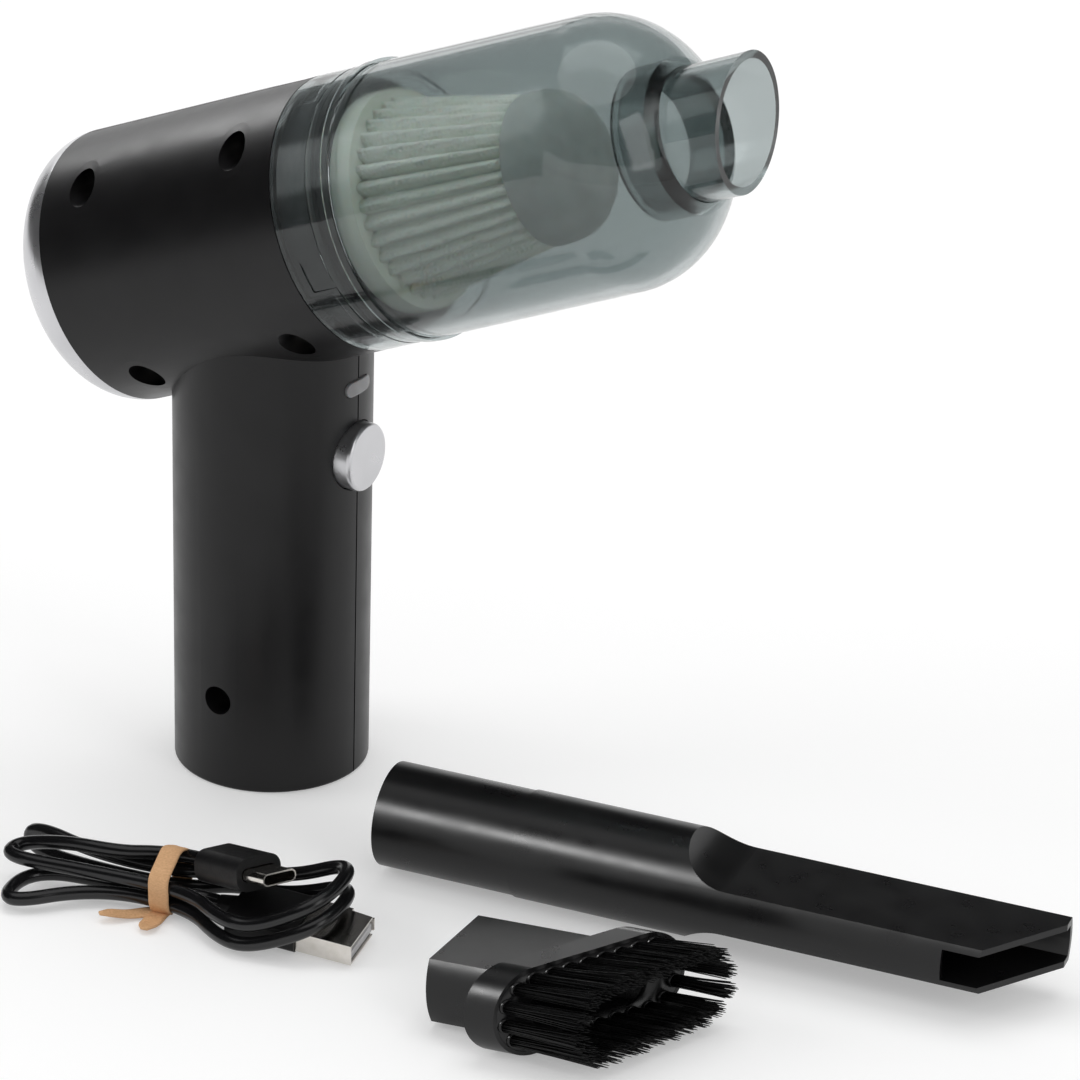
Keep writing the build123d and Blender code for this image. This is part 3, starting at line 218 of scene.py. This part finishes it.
def cell_sleeve():
    """Shrunk sleeve with faint wrinkles round the cells."""
    material, tree, surface = new_material("cell_sleeve")
    folds = grain(tree, 4.0, 3.0, (1, 1, 0.35))
    tone = blend_colours(tree, between(tree, folds, 0, 1), (0.02, 0.09, 0.24), (0.03, 0.12, 0.3))
    tree.links.new(tone, surface.inputs["Base Color"])
    tree.links.new(raise_surface(tree, folds, 0.06), surface.inputs["Normal"])
    surface.inputs["Roughness"].default_value = 0.28
    return material


def solder_mask():
    """Green board with copper tracks showing through the mask."""
    material, tree, surface = new_material("solder_mask")
    inputs = {"Vector": place_on(tree, (1, 1, 1), (0, math.radians(90), 0)), "Scale": 1 / (4.0 * MM)}
    inputs["Mortar Size"] = 0.03
    tracks = add_node(tree, "ShaderNodeTexBrick", inputs).outputs["Fac"]
    tone = blend_colours(tree, tracks, (0.008, 0.06, 0.028), (0.03, 0.14, 0.06))
    tree.links.new(tone, surface.inputs["Base Color"])
    tree.links.new(raise_surface(tree, tracks, 0.04), surface.inputs["Normal"])
    surface.inputs["Roughness"].default_value = 0.3
    return material


def clear_plastic(name, tint, shade, rough=0.03, index=1.46):
    """Tinted clear plastic that lets the lamps reach what is inside it."""
    material, tree, surface = new_material(name)
    surface.inputs["Base Color"].default_value = (*tint, 1)
    surface.inputs["Transmission Weight"].default_value = 1.0
    surface.inputs["IOR"].default_value = index
    haze = between(tree, grain(tree, 6.0, 3.0), rough * 0.6, rough * 1.4)
    tree.links.new(haze, surface.inputs["Roughness"])
    ripple = raise_surface(tree, grain(tree, 11.0, 1.0), 0.02)
    tree.links.new(ripple, surface.inputs["Normal"])
    see = add_node(tree, "ShaderNodeBsdfTransparent", {"Color": (*shade, 1)})
    rays = add_node(tree, "ShaderNodeLightPath")
    mix = add_node(tree, "ShaderNodeMixShader", {"Fac": rays.outputs["Is Shadow Ray"]})
    tree.links.new(surface.outputs["BSDF"], mix.inputs[1])
    tree.links.new(see.outputs["BSDF"], mix.inputs[2])
    tree.links.new(mix.outputs["Shader"], tree.nodes["Material Output"].inputs["Surface"])
    return material


smoke_clear = clear_plastic("smoke_clear", (0.42, 0.465, 0.465), (0.97, 0.975, 0.975), 0.075)
lens_clear = moulded(
    "lens_clear", (0.30, 0.30, 0.31), (0.36, 0.36, 0.37), (0.16, 0.24),
    grain_size=0.4, patch=4.0, Transmission_Weight=0.25, Subsurface_Weight=0.2, Subsurface_Scale=0.001,
)
plated_steel = plated_metal()
board_green = solder_mask()

dress(black_shell, "housing_left", "housing_right")
dress(silver_trim, "rear_cap", "power_button")
dress(
    dark_plastic, "exhaust_grille", "motor_mount", "fan_shroud", "diffuser_plate", "impeller",
    "cup_spigot", "intake_grille", "motor_end_cap", "battery_holder", "push_switch",
)
dress(open_foam(), "exhaust_foam")
dress(plated_steel, "housing_screws", "motor_can", "usb_c_socket", "usb_a_shell", "usb_c_shell")
dress(magnet_grey, "motor_magnets")
dress(laminated_core(), "motor_armature")
dress(cell_sleeve(), "battery_cells")
dress(board_green, "control_board", "charge_board")
dress(lamp_white, "indicator_led")
dress(lens_clear, "indicator_lens")
dress(lead_red, "motor_leads")
dress(smoke_clear, "dust_cup", "inlet_tube")
dress(seal_rubber, "cup_seal")
dress(filter_plastic, "filter_frame")
dress(cap_plastic, "filter_cap")
dress(black_tool, "crevice_tool", "brush_head")
dress(mould_black, "usb_a_overmould", "usb_c_overmould")
dress(tongue_white, "usb_a_tongue")


# Helpers for new pieces
def make_mesh(name, points, faces, material, smooth=True):
    mesh = bpy.data.meshes.new(name)
    mesh.from_pydata([p * MM for p in points], [], faces)
    mesh.validate()
    mesh.update()
    for face in mesh.polygons:
        face.use_smooth = smooth
    mesh.materials.append(material)
    piece = bpy.data.objects.new(name, mesh)
    scene.collection.objects.link(piece)
    return piece


def grid_faces(rows, columns, close_rows=False, close_columns=False, start=0):
    """Quads over points laid out row by row."""
    faces = []
    for row in range(rows if close_rows else rows - 1):
        after = (row + 1) % rows
        for column in range(columns if close_columns else columns - 1):
            beside = (column + 1) % columns
            here = start + row * columns
            there = start + after * columns
            faces.append((here + column, here + beside, there + beside, there + column))
    return faces


# Charging cable, along the hank's route
HANK_MIDDLE = Vector((19.4, -68.7, 0))
HANK_TURN = math.radians(10.5)
hank_ahead = Vector((math.cos(HANK_TURN), math.sin(HANK_TURN), 0))
hank_left = Vector((-math.sin(HANK_TURN), math.cos(HANK_TURN), 0))
CABLE_DIAMETER = 2.9


def hank_point(ahead, left, height):
    return HANK_MIDDLE + hank_ahead * ahead + hank_left * left + UP * height


# Route of the cable as (ahead, left, height) from the middle of the hank's waist
cable_route = [
    (13.37, -2.52, 4.6), (10.48, -2.45, 4.73),
    (7.61, -2.37, 4.85), (2.87, 0, 2.65),
    (-10.53, 0, 2.65), (-29, -1.5, 2.65), (-29, -17.5, 2.65), (-13.15, -3.5, 2.65),
    (7, -3.5, 2.65), (18, -13.08, 2.65), (25.5, -13.08, 2.65), (39, -10, 8.88),
    (39, 8, 8.88), (24.02, 7.42, 3.25), (12.52, 7.42, 3.25), (4.48, 3.5, 2.65),
    (-15.5, 3.5, 2.65), (-33.5, 8, 1.5), (-33.5, 8, 7.5), (-15.5, 3.5, 6.15),
    (4.56, 3.5, 6.15), (12.44, 8.02, 6.95), (23.61, 8.02, 6.95), (38, 10, 12.68),
    (38, -8, 12.68), (25.5, -12.28, 6.55), (18, -12.28, 6.55), (7, -3.5, 6.15),
    (-14.98, -3.5, 6.15), (-33, -4.85, 6.45), (-33, 1.35, 6.45), (-21.71, 0, 9.65),
    (-9.51, 0.4, 9.65), (-3.47, 3.4, 9.4), (3.2, 4.6, 9.4), (8.44, 2.41, 10.55),
]
cable_curve = bpy.data.curves.new("cable", "CURVE")
cable_curve.dimensions = "3D"
cable_line = cable_curve.splines.new("NURBS")
cable_line.points.add(len(cable_route) - 1)
for point, spot in zip(cable_line.points, cable_route):
    point.co = (*(hank_point(*spot) * MM), 1)
cable_line.order_u = 3
cable_line.use_endpoint_u = True
cable_line.resolution_u = 14
cable_curve.bevel_depth = CABLE_DIAMETER / 2 * MM
cable_curve.bevel_resolution = 5
cable_curve.materials.append(jacket)
cable = bpy.data.objects.new("cable", cable_curve)
scene.collection.objects.link(cable)
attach(cable, "cable")
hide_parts("charging_cable")


# Paper tie round the hank's waist, with two tails
def kraft_paper():
    material, tree, surface = new_material("kraft_paper")
    fibre = grain(tree, 0.5, 5.0, (1, 1, 3))
    tone = blend_colours(tree, between(tree, fibre, 0, 1), (0.64, 0.37, 0.185), (0.75, 0.45, 0.24))
    tree.links.new(tone, surface.inputs["Base Color"])
    crease = raise_surface(tree, grain(tree, 2.2, 3.0), 0.12)
    tree.links.new(raise_surface(tree, fibre, 0.05, 1.0, crease), surface.inputs["Normal"])
    surface.inputs["Roughness"].default_value = 0.7
    return material


TIE_WIDTH = 4.3
TIE_AHEAD = 1.3
TIE_LOW = 0.42
TIE_HOLD = 3.7
TIE_SKEW = 0.22
TIE_CREASE = 0.14
TIE_CROWN = 0.1
PAPER_THICKNESS = 0.36
# Corners that the tie is rounded about, as (left, height)
tie_corners = [(-2.1, 3.7), (2.1, 3.7), (-2.1, 5.8), (2.1, 8.0)]


def tie_points():
    """Rows round the waist, each across the tie's width; it is drawn round over the outer strands."""
    rounds, across = 96, 9
    points = []
    for row in range(rounds):
        angle = 2 * math.pi * row / rounds
        c, s = math.cos(angle), math.sin(angle)
        left, height = max(tie_corners, key=lambda spot: spot[0] * c + spot[1] * s)
        for column in range(across):
            share = column / (across - 1) - 0.5
            ahead = TIE_AHEAD + share * TIE_WIDTH + TIE_SKEW * math.sin(2 * angle + 0.6)
            wave = TIE_CREASE * noise.noise(Vector((2.1 * c + 5, 2.1 * s, share * 3)))
            reach = TIE_HOLD + wave + TIE_CROWN * (1 - (2 * share) ** 2)
            points.append(hank_point(ahead, left + c * reach, max(TIE_LOW, height + s * reach)))
    return points, grid_faces(rounds, across, close_rows=True)


TAIL_TAPER = 0.25
TAIL_CUT = 0.82
TAIL_CUT_TAPER = 0.45
TAIL_CUP = 0.35
TAIL_WAVE = 0.12


def tail_points(start, heading, length, width, curl):
    """A short strip on the floor that leaves the tie, curls up a little and is cut narrow at its end."""
    along = hank_ahead * math.sin(heading) - hank_left * math.cos(heading)
    side = along.cross(UP)
    rows, across = 14, 7
    points = []
    for row in range(rows):
        share = row / (rows - 1)
        narrow = 1 - TAIL_TAPER * share - TAIL_CUT_TAPER * max(0, share - TAIL_CUT) / (1 - TAIL_CUT)
        for column in range(across):
            offset = (column / (across - 1) - 0.5) * width * narrow
            cup = TAIL_CUP * (2 * offset / width) ** 2
            height = TIE_LOW + curl * share**2 + cup * share + TAIL_WAVE * math.sin(9 * share)
            points.append(start + along * (length * share) + side * offset + UP * height)
    return points, grid_faces(rows, across)


kraft = kraft_paper()
tie = make_mesh("tie_band", *tie_points(), kraft)
tail_root = hank_point(TIE_AHEAD - 0.4, -3.8, 0)
side_tail = tail_points(tail_root, math.radians(-52), length=12.5, width=3.8, curl=1.4)
front_tail = tail_points(tail_root, math.radians(3), length=9.0, width=4.6, curl=0.7)
tails = [
    make_mesh("tie_tail_side", *side_tail, kraft),
    make_mesh("tie_tail_front", *front_tail, kraft),
]
for strip in (tie, *tails):
    paper = strip.modifiers.new("paper", "SOLIDIFY")
    paper.thickness = PAPER_THICKNESS * MM
    paper.offset = 0.0
    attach(strip, "cable")
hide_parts("cable_tie")

# Filter paper, folded in pleats along a cone
BARREL_START = Vector((0, 0, 119.2))
barrel_ahead = Vector((math.cos(BARREL_TILT), 0, math.sin(BARREL_TILT)))
barrel_up = Vector((-math.sin(BARREL_TILT), 0, math.cos(BARREL_TILT)))
barrel_side = Vector((0, 1, 0))


def barrel_point(along, radius, angle):
    """A point round the barrel, with its angle measured from straight up towards +Y."""
    outward = barrel_up * math.cos(angle) + barrel_side * math.sin(angle)
    return BARREL_START + barrel_ahead * along + outward * radius


def filter_paper():
    """Off-white paper, embossed with small dimples in rows."""
    material, tree, surface = new_material("filter_paper")
    fibre = grain(tree, 0.4, 4.0)
    tone = blend_colours(tree, between(tree, fibre, 0, 1), (0.80, 0.83, 0.74), (0.88, 0.89, 0.82))
    tree.links.new(tone, surface.inputs["Base Color"])
    inputs = {"Vector": place_on(tree, (1, 1, 1), (0, BARREL_TILT, 0)), "Scale": 1 / (1.1 * MM)}
    inputs["Randomness"] = 0.25
    dimples = add_node(tree, "ShaderNodeTexVoronoi", inputs).outputs["Distance"]
    emboss = raise_surface(tree, between(tree, dimples, 0, 1, 0.05, 0.55), 0.3)
    tree.links.new(raise_surface(tree, fibre, 0.03, 1.0, emboss), surface.inputs["Normal"])
    surface.inputs["Roughness"].default_value = 0.85
    surface.inputs["Subsurface Weight"].default_value = 0.15
    surface.inputs["Subsurface Scale"].default_value = 0.0015
    return material


PLEATS = 34
PLEAT_DEPTH = 2.6
PLEAT_ROUNDNESS = 0.85
FILTER_START = 38.05
FILTER_END = 68.85
FILTER_REAR = 20.5
FILTER_FRONT = 14.9
FILTER_CORE = 11.6


def pleat_points():
    steps, rows = 12, 34
    draw = random.Random(11)
    shifts = [draw.uniform(-0.12, 0.12) for _ in range(PLEATS)]
    depths = [draw.uniform(0.86, 1.0) for _ in range(PLEATS)]
    points = []
    columns = PLEATS * steps
    for row in range(rows):
        share = row / (rows - 1)
        along = FILTER_START + (FILTER_END - FILTER_START) * share
        tip = FILTER_REAR + (FILTER_FRONT - FILTER_REAR) * share
        for column in range(columns):
            pleat, step = divmod(column, steps)
            fold = 1 - math.sin(math.pi * step / steps) ** PLEAT_ROUNDNESS
            sway = shifts[pleat] * math.sin(math.pi * share) * (1 - fold)
            angle = 2 * math.pi * (pleat + step / steps + sway) / PLEATS
            points.append(barrel_point(along, tip - PLEAT_DEPTH * depths[pleat] * fold, angle))
    for along in (FILTER_END, FILTER_START):
        for column in range(columns):
            points.append(barrel_point(along, FILTER_CORE, 2 * math.pi * column / columns))
    return points, grid_faces(rows + 2, columns, close_rows=True, close_columns=True)


pleats = make_mesh("filter_pleats", *pleat_points(), filter_paper())
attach(pleats, "filter")
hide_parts("filter_media")

# Brush bristles: tufts of tapered strands round an oval, leaning a little outwards
BRUSH_TURN = math.radians(4.5)
BRUSH_SLANT = math.radians(31.8)
TIP_SLANT = math.radians(25)
PLUG_HALF = 6.6
PLUG_RADIUS = 12.45
SOCKET_HALF = 5.1
SOCKET_RADIUS = 11.45
FLARE_END = 22.5
COLLAR_END = 28.8
COLLAR_HALF_WIDTH = 18.6
COLLAR_HALF_HEIGHT = 9.0
COLLAR_RIM = 0.9
plug_flat = math.sqrt(PLUG_RADIUS**2 - PLUG_HALF**2)
rest_span = FLARE_END * math.cos(BRUSH_SLANT) + plug_flat * math.sin(BRUSH_SLANT)
brush_tilt = math.atan((COLLAR_HALF_HEIGHT - PLUG_HALF) / rest_span)
flat_ahead = Vector((math.cos(BRUSH_TURN), math.sin(BRUSH_TURN), 0))
flat_left = Vector((-math.sin(BRUSH_TURN), math.cos(BRUSH_TURN), 0))
slanted_left = flat_left * math.cos(BRUSH_SLANT) + flat_ahead * math.sin(BRUSH_SLANT)
flat_normal = flat_ahead * math.cos(BRUSH_SLANT) - flat_left * math.sin(BRUSH_SLANT)
slanted_normal = flat_normal * math.cos(brush_tilt) + UP * math.sin(brush_tilt)
brush_up = UP * math.cos(brush_tilt) - flat_normal * math.sin(brush_tilt)
brush_ahead = slanted_normal * math.cos(BRUSH_SLANT) + slanted_left * math.sin(BRUSH_SLANT)
brush_left = slanted_left * math.cos(BRUSH_SLANT) - slanted_normal * math.sin(BRUSH_SLANT)
brush_rest = COLLAR_HALF_HEIGHT * brush_up.z - FLARE_END * brush_ahead.z
brush_origin = Vector((87.8, -69.0, brush_rest))
PLATE_THICKNESS = 0.95
plate_outer = (COLLAR_HALF_WIDTH / math.cos(BRUSH_SLANT) - COLLAR_RIM, COLLAR_HALF_HEIGHT - COLLAR_RIM)
plate_inner = (SOCKET_RADIUS / math.cos(BRUSH_SLANT) + 0.1, SOCKET_HALF + 0.1)
TUFTS = 24
TUFT_STRANDS = 46
TUFT_RADIUS = 1.2
TUFT_INSET = 2.35
tuft_oval = (COLLAR_HALF_WIDTH / math.cos(BRUSH_SLANT) - TUFT_INSET, COLLAR_HALF_HEIGHT - TUFT_INSET)
BRISTLE_LENGTH = 14.5
STRAND_RADIUS = 0.15
TUFT_LEAN = 0.015
STRAND_OUT = 0.02
STRAND_FAN = 0.035
STRAND_SCATTER = 0.012
STRAND_BOW = 0.45
SHORTEST_STRAND = 0.95
GOLDEN_ANGLE = 2.39996
# Section of the raised rim round a tuft, as (radius, height over the plate)
rim_section = ((1.5, -0.3), (1.5, 0.4), (1.42, 0.6), (1.3, 0.6), (1.22, 0.4), (1.22, -0.3))


def oval_point(share, half_width, half_height):
    """A point on an oval's line, and the way out from it, both across the slanted face."""
    straight = 2 * (half_width - half_height)
    bend = math.pi * half_height
    travel = share * 2 * (straight + bend)
    if travel < straight:
        return (-straight / 2 + travel, half_height), (0, 1)
    if travel < straight + bend:
        angle = math.pi / 2 - (travel - straight) / half_height
        middle = straight / 2
    elif travel < 2 * straight + bend:
        return (straight / 2 - (travel - straight - bend), -half_height), (0, -1)
    else:
        angle = -math.pi / 2 - (travel - 2 * straight - bend) / half_height
        middle = -straight / 2
    c, s = math.cos(angle), math.sin(angle)
    return (middle + half_height * c, half_height * s), (c, s)


def brush_point(x, y, along):
    """A point over the slanted face, at a distance along the brush from the collar's end."""
    return brush_origin + brush_ahead * (COLLAR_END + along) + slanted_left * x + brush_up * y


def strand_points():
    draw = random.Random(7)
    points, faces = [], []
    levels = (0.0, 0.4, 0.75, 0.97, 1.0)
    widths = (1.0, 0.96, 0.9, 0.7, 0.25)
    for tuft in range(TUFTS):
        (x, y), (out_x, out_y) = oval_point(tuft / TUFTS, *tuft_oval)
        lean_x = draw.uniform(-TUFT_LEAN, TUFT_LEAN)
        lean_y = draw.uniform(-TUFT_LEAN, TUFT_LEAN)
        trimmed = x * (math.cos(BRUSH_SLANT) * math.tan(TIP_SLANT) - math.sin(BRUSH_SLANT))
        for strand in range(TUFT_STRANDS):
            radius = TUFT_RADIUS * math.sqrt((strand + 0.5) / TUFT_STRANDS)
            angle = strand * GOLDEN_ANGLE
            dx = radius * math.cos(angle)
            dy = radius * math.sin(angle)
            length = PLATE_THICKNESS + (BRISTLE_LENGTH + trimmed) * draw.uniform(SHORTEST_STRAND, 1.0)
            spread_x = lean_x + STRAND_OUT * out_x + STRAND_FAN * dx + draw.gauss(0, STRAND_SCATTER)
            spread_y = lean_y + STRAND_OUT * out_y + STRAND_FAN * dy + draw.gauss(0, STRAND_SCATTER)
            spin = draw.uniform(0, math.pi)
            start = len(points)
            for level, width in zip(levels, widths):
                rise = length * level
                bow = rise * (1 - STRAND_BOW + STRAND_BOW * level)
                across_x = x + dx + spread_x * bow
                across_y = y + dy + spread_y * bow
                centre = brush_point(across_x, across_y, rise - PLATE_THICKNESS)
                for corner in range(4):
                    turn = spin + corner * math.pi / 2
                    offset = brush_left * math.cos(turn) + brush_up * math.sin(turn)
                    points.append(centre + offset * (STRAND_RADIUS * width))
            faces += grid_faces(len(levels), 4, close_columns=True, start=start)
            faces.append((start + 3, start + 2, start + 1, start))
            top = start + 4 * (len(levels) - 1)
            faces.append((top, top + 1, top + 2, top + 3))
    return points, faces


def plate_points():
    """The ring that the tufts stand in, with a raised rim round each of them."""
    points = []
    columns = 160
    low = -PLATE_THICKNESS
    for oval, along in ((plate_outer, low), (plate_outer, 0), (plate_inner, 0), (plate_inner, low)):
        for column in range(columns):
            (x, y), _ = oval_point(column / columns, *oval)
            points.append(brush_point(x, y, along))
    faces = grid_faces(4, columns, close_rows=True, close_columns=True)
    around = 20
    for tuft in range(TUFTS):
        (x, y), _ = oval_point(tuft / TUFTS, *tuft_oval)
        start = len(points)
        for radius, along in rim_section:
            for step in range(around):
                angle = 2 * math.pi * step / around
                dx = radius * math.cos(angle)
                dy = radius * math.sin(angle)
                points.append(brush_point(x + dx, y + dy, along))
        faces += grid_faces(len(rim_section), around, close_rows=True, close_columns=True, start=start)
    return points, faces


def bristle_nylon():
    material, tree, surface = new_material("bristle_nylon")
    shade = between(tree, grain(tree, 1.2), 0, 1)
    tone = blend_colours(tree, shade, (0.002, 0.002, 0.002), (0.005, 0.005, 0.0054))
    tree.links.new(tone, surface.inputs["Base Color"])
    tree.links.new(between(tree, grain(tree, 0.7), 0.3, 0.5), surface.inputs["Roughness"])
    surface.inputs["Specular IOR Level"].default_value = 0.3
    return material


bristles = make_mesh("bristle_tufts", *strand_points(), bristle_nylon())
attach(bristles, "brush")
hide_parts("brush_bristles")
plate = make_mesh("bristle_plate", *plate_points(), black_tool)
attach(plate, "brush")


# Pale floor and backdrop
def seen_rays(tree):
    """1 for rays from the camera, in a mirror or through glass."""
    rays = add_node(tree, "ShaderNodeLightPath").outputs
    first = add_node(tree, "ShaderNodeMath", operation="MAXIMUM")
    tree.links.new(rays["Is Camera Ray"], first.inputs[0])
    tree.links.new(rays["Is Glossy Ray"], first.inputs[1])
    second = add_node(tree, "ShaderNodeMath", operation="MAXIMUM")
    tree.links.new(first.outputs[0], second.inputs[0])
    tree.links.new(rays["Is Transmission Ray"], second.inputs[1])
    return second.outputs[0]


FLOOR_HALF = 6.0
FLOOR_HEIGHT = -0.00005
floor_mesh = bpy.data.meshes.new("floor")
floor_corners = [
    (x * FLOOR_HALF, y * FLOOR_HALF, FLOOR_HEIGHT)
    for x, y in ((-1, -1), (1, -1), (1, 1), (-1, 1))
]
floor_mesh.from_pydata(floor_corners, [], [(0, 1, 2, 3)])
floor = bpy.data.objects.new("floor", floor_mesh)
scene.collection.objects.link(floor)
floor_material, tree, surface = new_material("floor_pale")
surface.inputs["Base Color"].default_value = (0.72, 0.72, 0.72, 1)
surface.inputs["Roughness"].default_value = 0.9
surface.inputs["Specular IOR Level"].default_value = 0.0
# The far floor, which the lamps hardly reach, glows more, so that it stays as pale as the near floor
NEAR_GLOW, FAR_GLOW = 0.32, 0.64
GLOW_START, GLOW_END = 0.4, 2.4
floor_spot = add_node(tree, "ShaderNodeTexCoord").outputs["Object"]
floor_reach = add_node(tree, "ShaderNodeVectorMath", {0: floor_spot}, operation="LENGTH")
glow_level = between(tree, floor_reach.outputs["Value"], NEAR_GLOW, FAR_GLOW, GLOW_START, GLOW_END)
floor_glow = add_node(tree, "ShaderNodeMath", {0: seen_rays(tree), 1: glow_level}, operation="MULTIPLY")
glow = add_node(tree, "ShaderNodeEmission", {"Strength": floor_glow.outputs["Value"]})
both = add_node(tree, "ShaderNodeAddShader")
tree.links.new(surface.outputs["BSDF"], both.inputs[0])
tree.links.new(glow.outputs["Emission"], both.inputs[1])
tree.links.new(both.outputs["Shader"], tree.nodes["Material Output"].inputs["Surface"])
floor_mesh.materials.append(floor_material)

world = bpy.data.worlds.new("studio")
scene.world = world
world.use_nodes = True
tree = world.node_tree
WORLD_LIGHT = 0.5
backdrop = tree.nodes["Background"]
backdrop.inputs["Color"].default_value = (1, 1, 1, 1)
tree.links.new(between(tree, seen_rays(tree), WORLD_LIGHT, 1.0, 0, 1), backdrop.inputs["Strength"])


# Soft studio lamps
AIM = Vector((0.04, 0, 0.08))


def soft_box(name, place, width, height, power):
    """A rectangular lamp that faces the object."""
    data = bpy.data.lights.new(name, "AREA")
    data.shape = "RECTANGLE"
    data.size = width
    data.size_y = height
    data.energy = power
    lamp = bpy.data.objects.new(name, data)
    lamp.location = place
    lamp.rotation_mode = "QUATERNION"
    lamp.rotation_quaternion = (AIM - Vector(place)).to_track_quat("-Z", "Y")
    scene.collection.objects.link(lamp)
    return lamp


def from_aim(azimuth, elevation, distance):
    """A place round the object, in degrees and metres."""
    turn, rise = math.radians(azimuth), math.radians(elevation)
    way = Vector((math.cos(rise) * math.cos(turn), math.cos(rise) * math.sin(turn), math.sin(rise)))
    return AIM + way * distance


for lamp in (
    soft_box("top_box", (-0.15, 0.45, 1.5), width=1.4, height=0.9, power=9.5),
    soft_box("left_box", (-1.35, -0.75, 0.75), width=0.9, height=1.2, power=8.5),
):
    lamp.visible_glossy = False
soft_box("right_box", (1.5, -0.35, 0.9), width=0.6, height=1.1, power=4.0)


def gloss_lamp(lamp, *pieces):
    """Let a lamp add only gloss, and only to these pieces."""
    lamp.visible_diffuse = False
    lamp.visible_transmission = False
    lit = bpy.data.collections.new(lamp.name + "_pieces")
    for piece in pieces:
        lit.objects.link(piece)
    lamp.light_linking.receiver_collection = lit


gloss_lamp(
    soft_box("front_strip", from_aim(-105, 31, 1.5), width=0.9, height=0.28, power=19.0),
    nodes["crevice_tool"], nodes["brush_head"], plate,
)
gloss_lamp(
    soft_box("back_box", from_aim(152, 34, 1.5), width=0.7, height=0.35, power=10.0),
    nodes["housing_left"], nodes["housing_right"], nodes["rear_cap"],
)
gloss_lamp(
    soft_box("back_strip", from_aim(121, 9, 1.7), width=1.4, height=0.22, power=4.0),
    nodes["brush_head"],
)


# Black cards round the object, which only show in its gloss
def dark_card(name, material, distance, first, last, low, high):
    """A band of card round the object, between two azimuths and two heights."""
    steps = 24
    points = []
    for height in (low, high):
        for step in range(steps + 1):
            turn = math.radians(first + (last - first) * step / steps)
            x = AIM.x + distance * math.cos(turn)
            y = AIM.y + distance * math.sin(turn)
            points.append(Vector((x, y, height)))
    mesh = bpy.data.meshes.new(name)
    mesh.from_pydata(points, [], grid_faces(2, steps + 1))
    mesh.materials.append(material)
    card = bpy.data.objects.new(name, mesh)
    scene.collection.objects.link(card)
    card.visible_camera = False
    card.visible_diffuse = False
    card.visible_shadow = False
    card.visible_transmission = False


card_black, tree, surface = new_material("card_black")
surface.inputs["Base Color"].default_value = (0.01, 0.01, 0.01, 1)
surface.inputs["Roughness"].default_value = 1.0
surface.inputs["Specular IOR Level"].default_value = 0.0
dark_card("card_high", card_black, distance=1.9, first=-180, last=180, low=0.58, high=3.3)
dark_card("card_low", card_black, distance=1.2, first=-200, last=-114, low=0.0, high=0.52)

scene.view_settings.view_transform = "Standard"

bpy.context.view_layer.update()
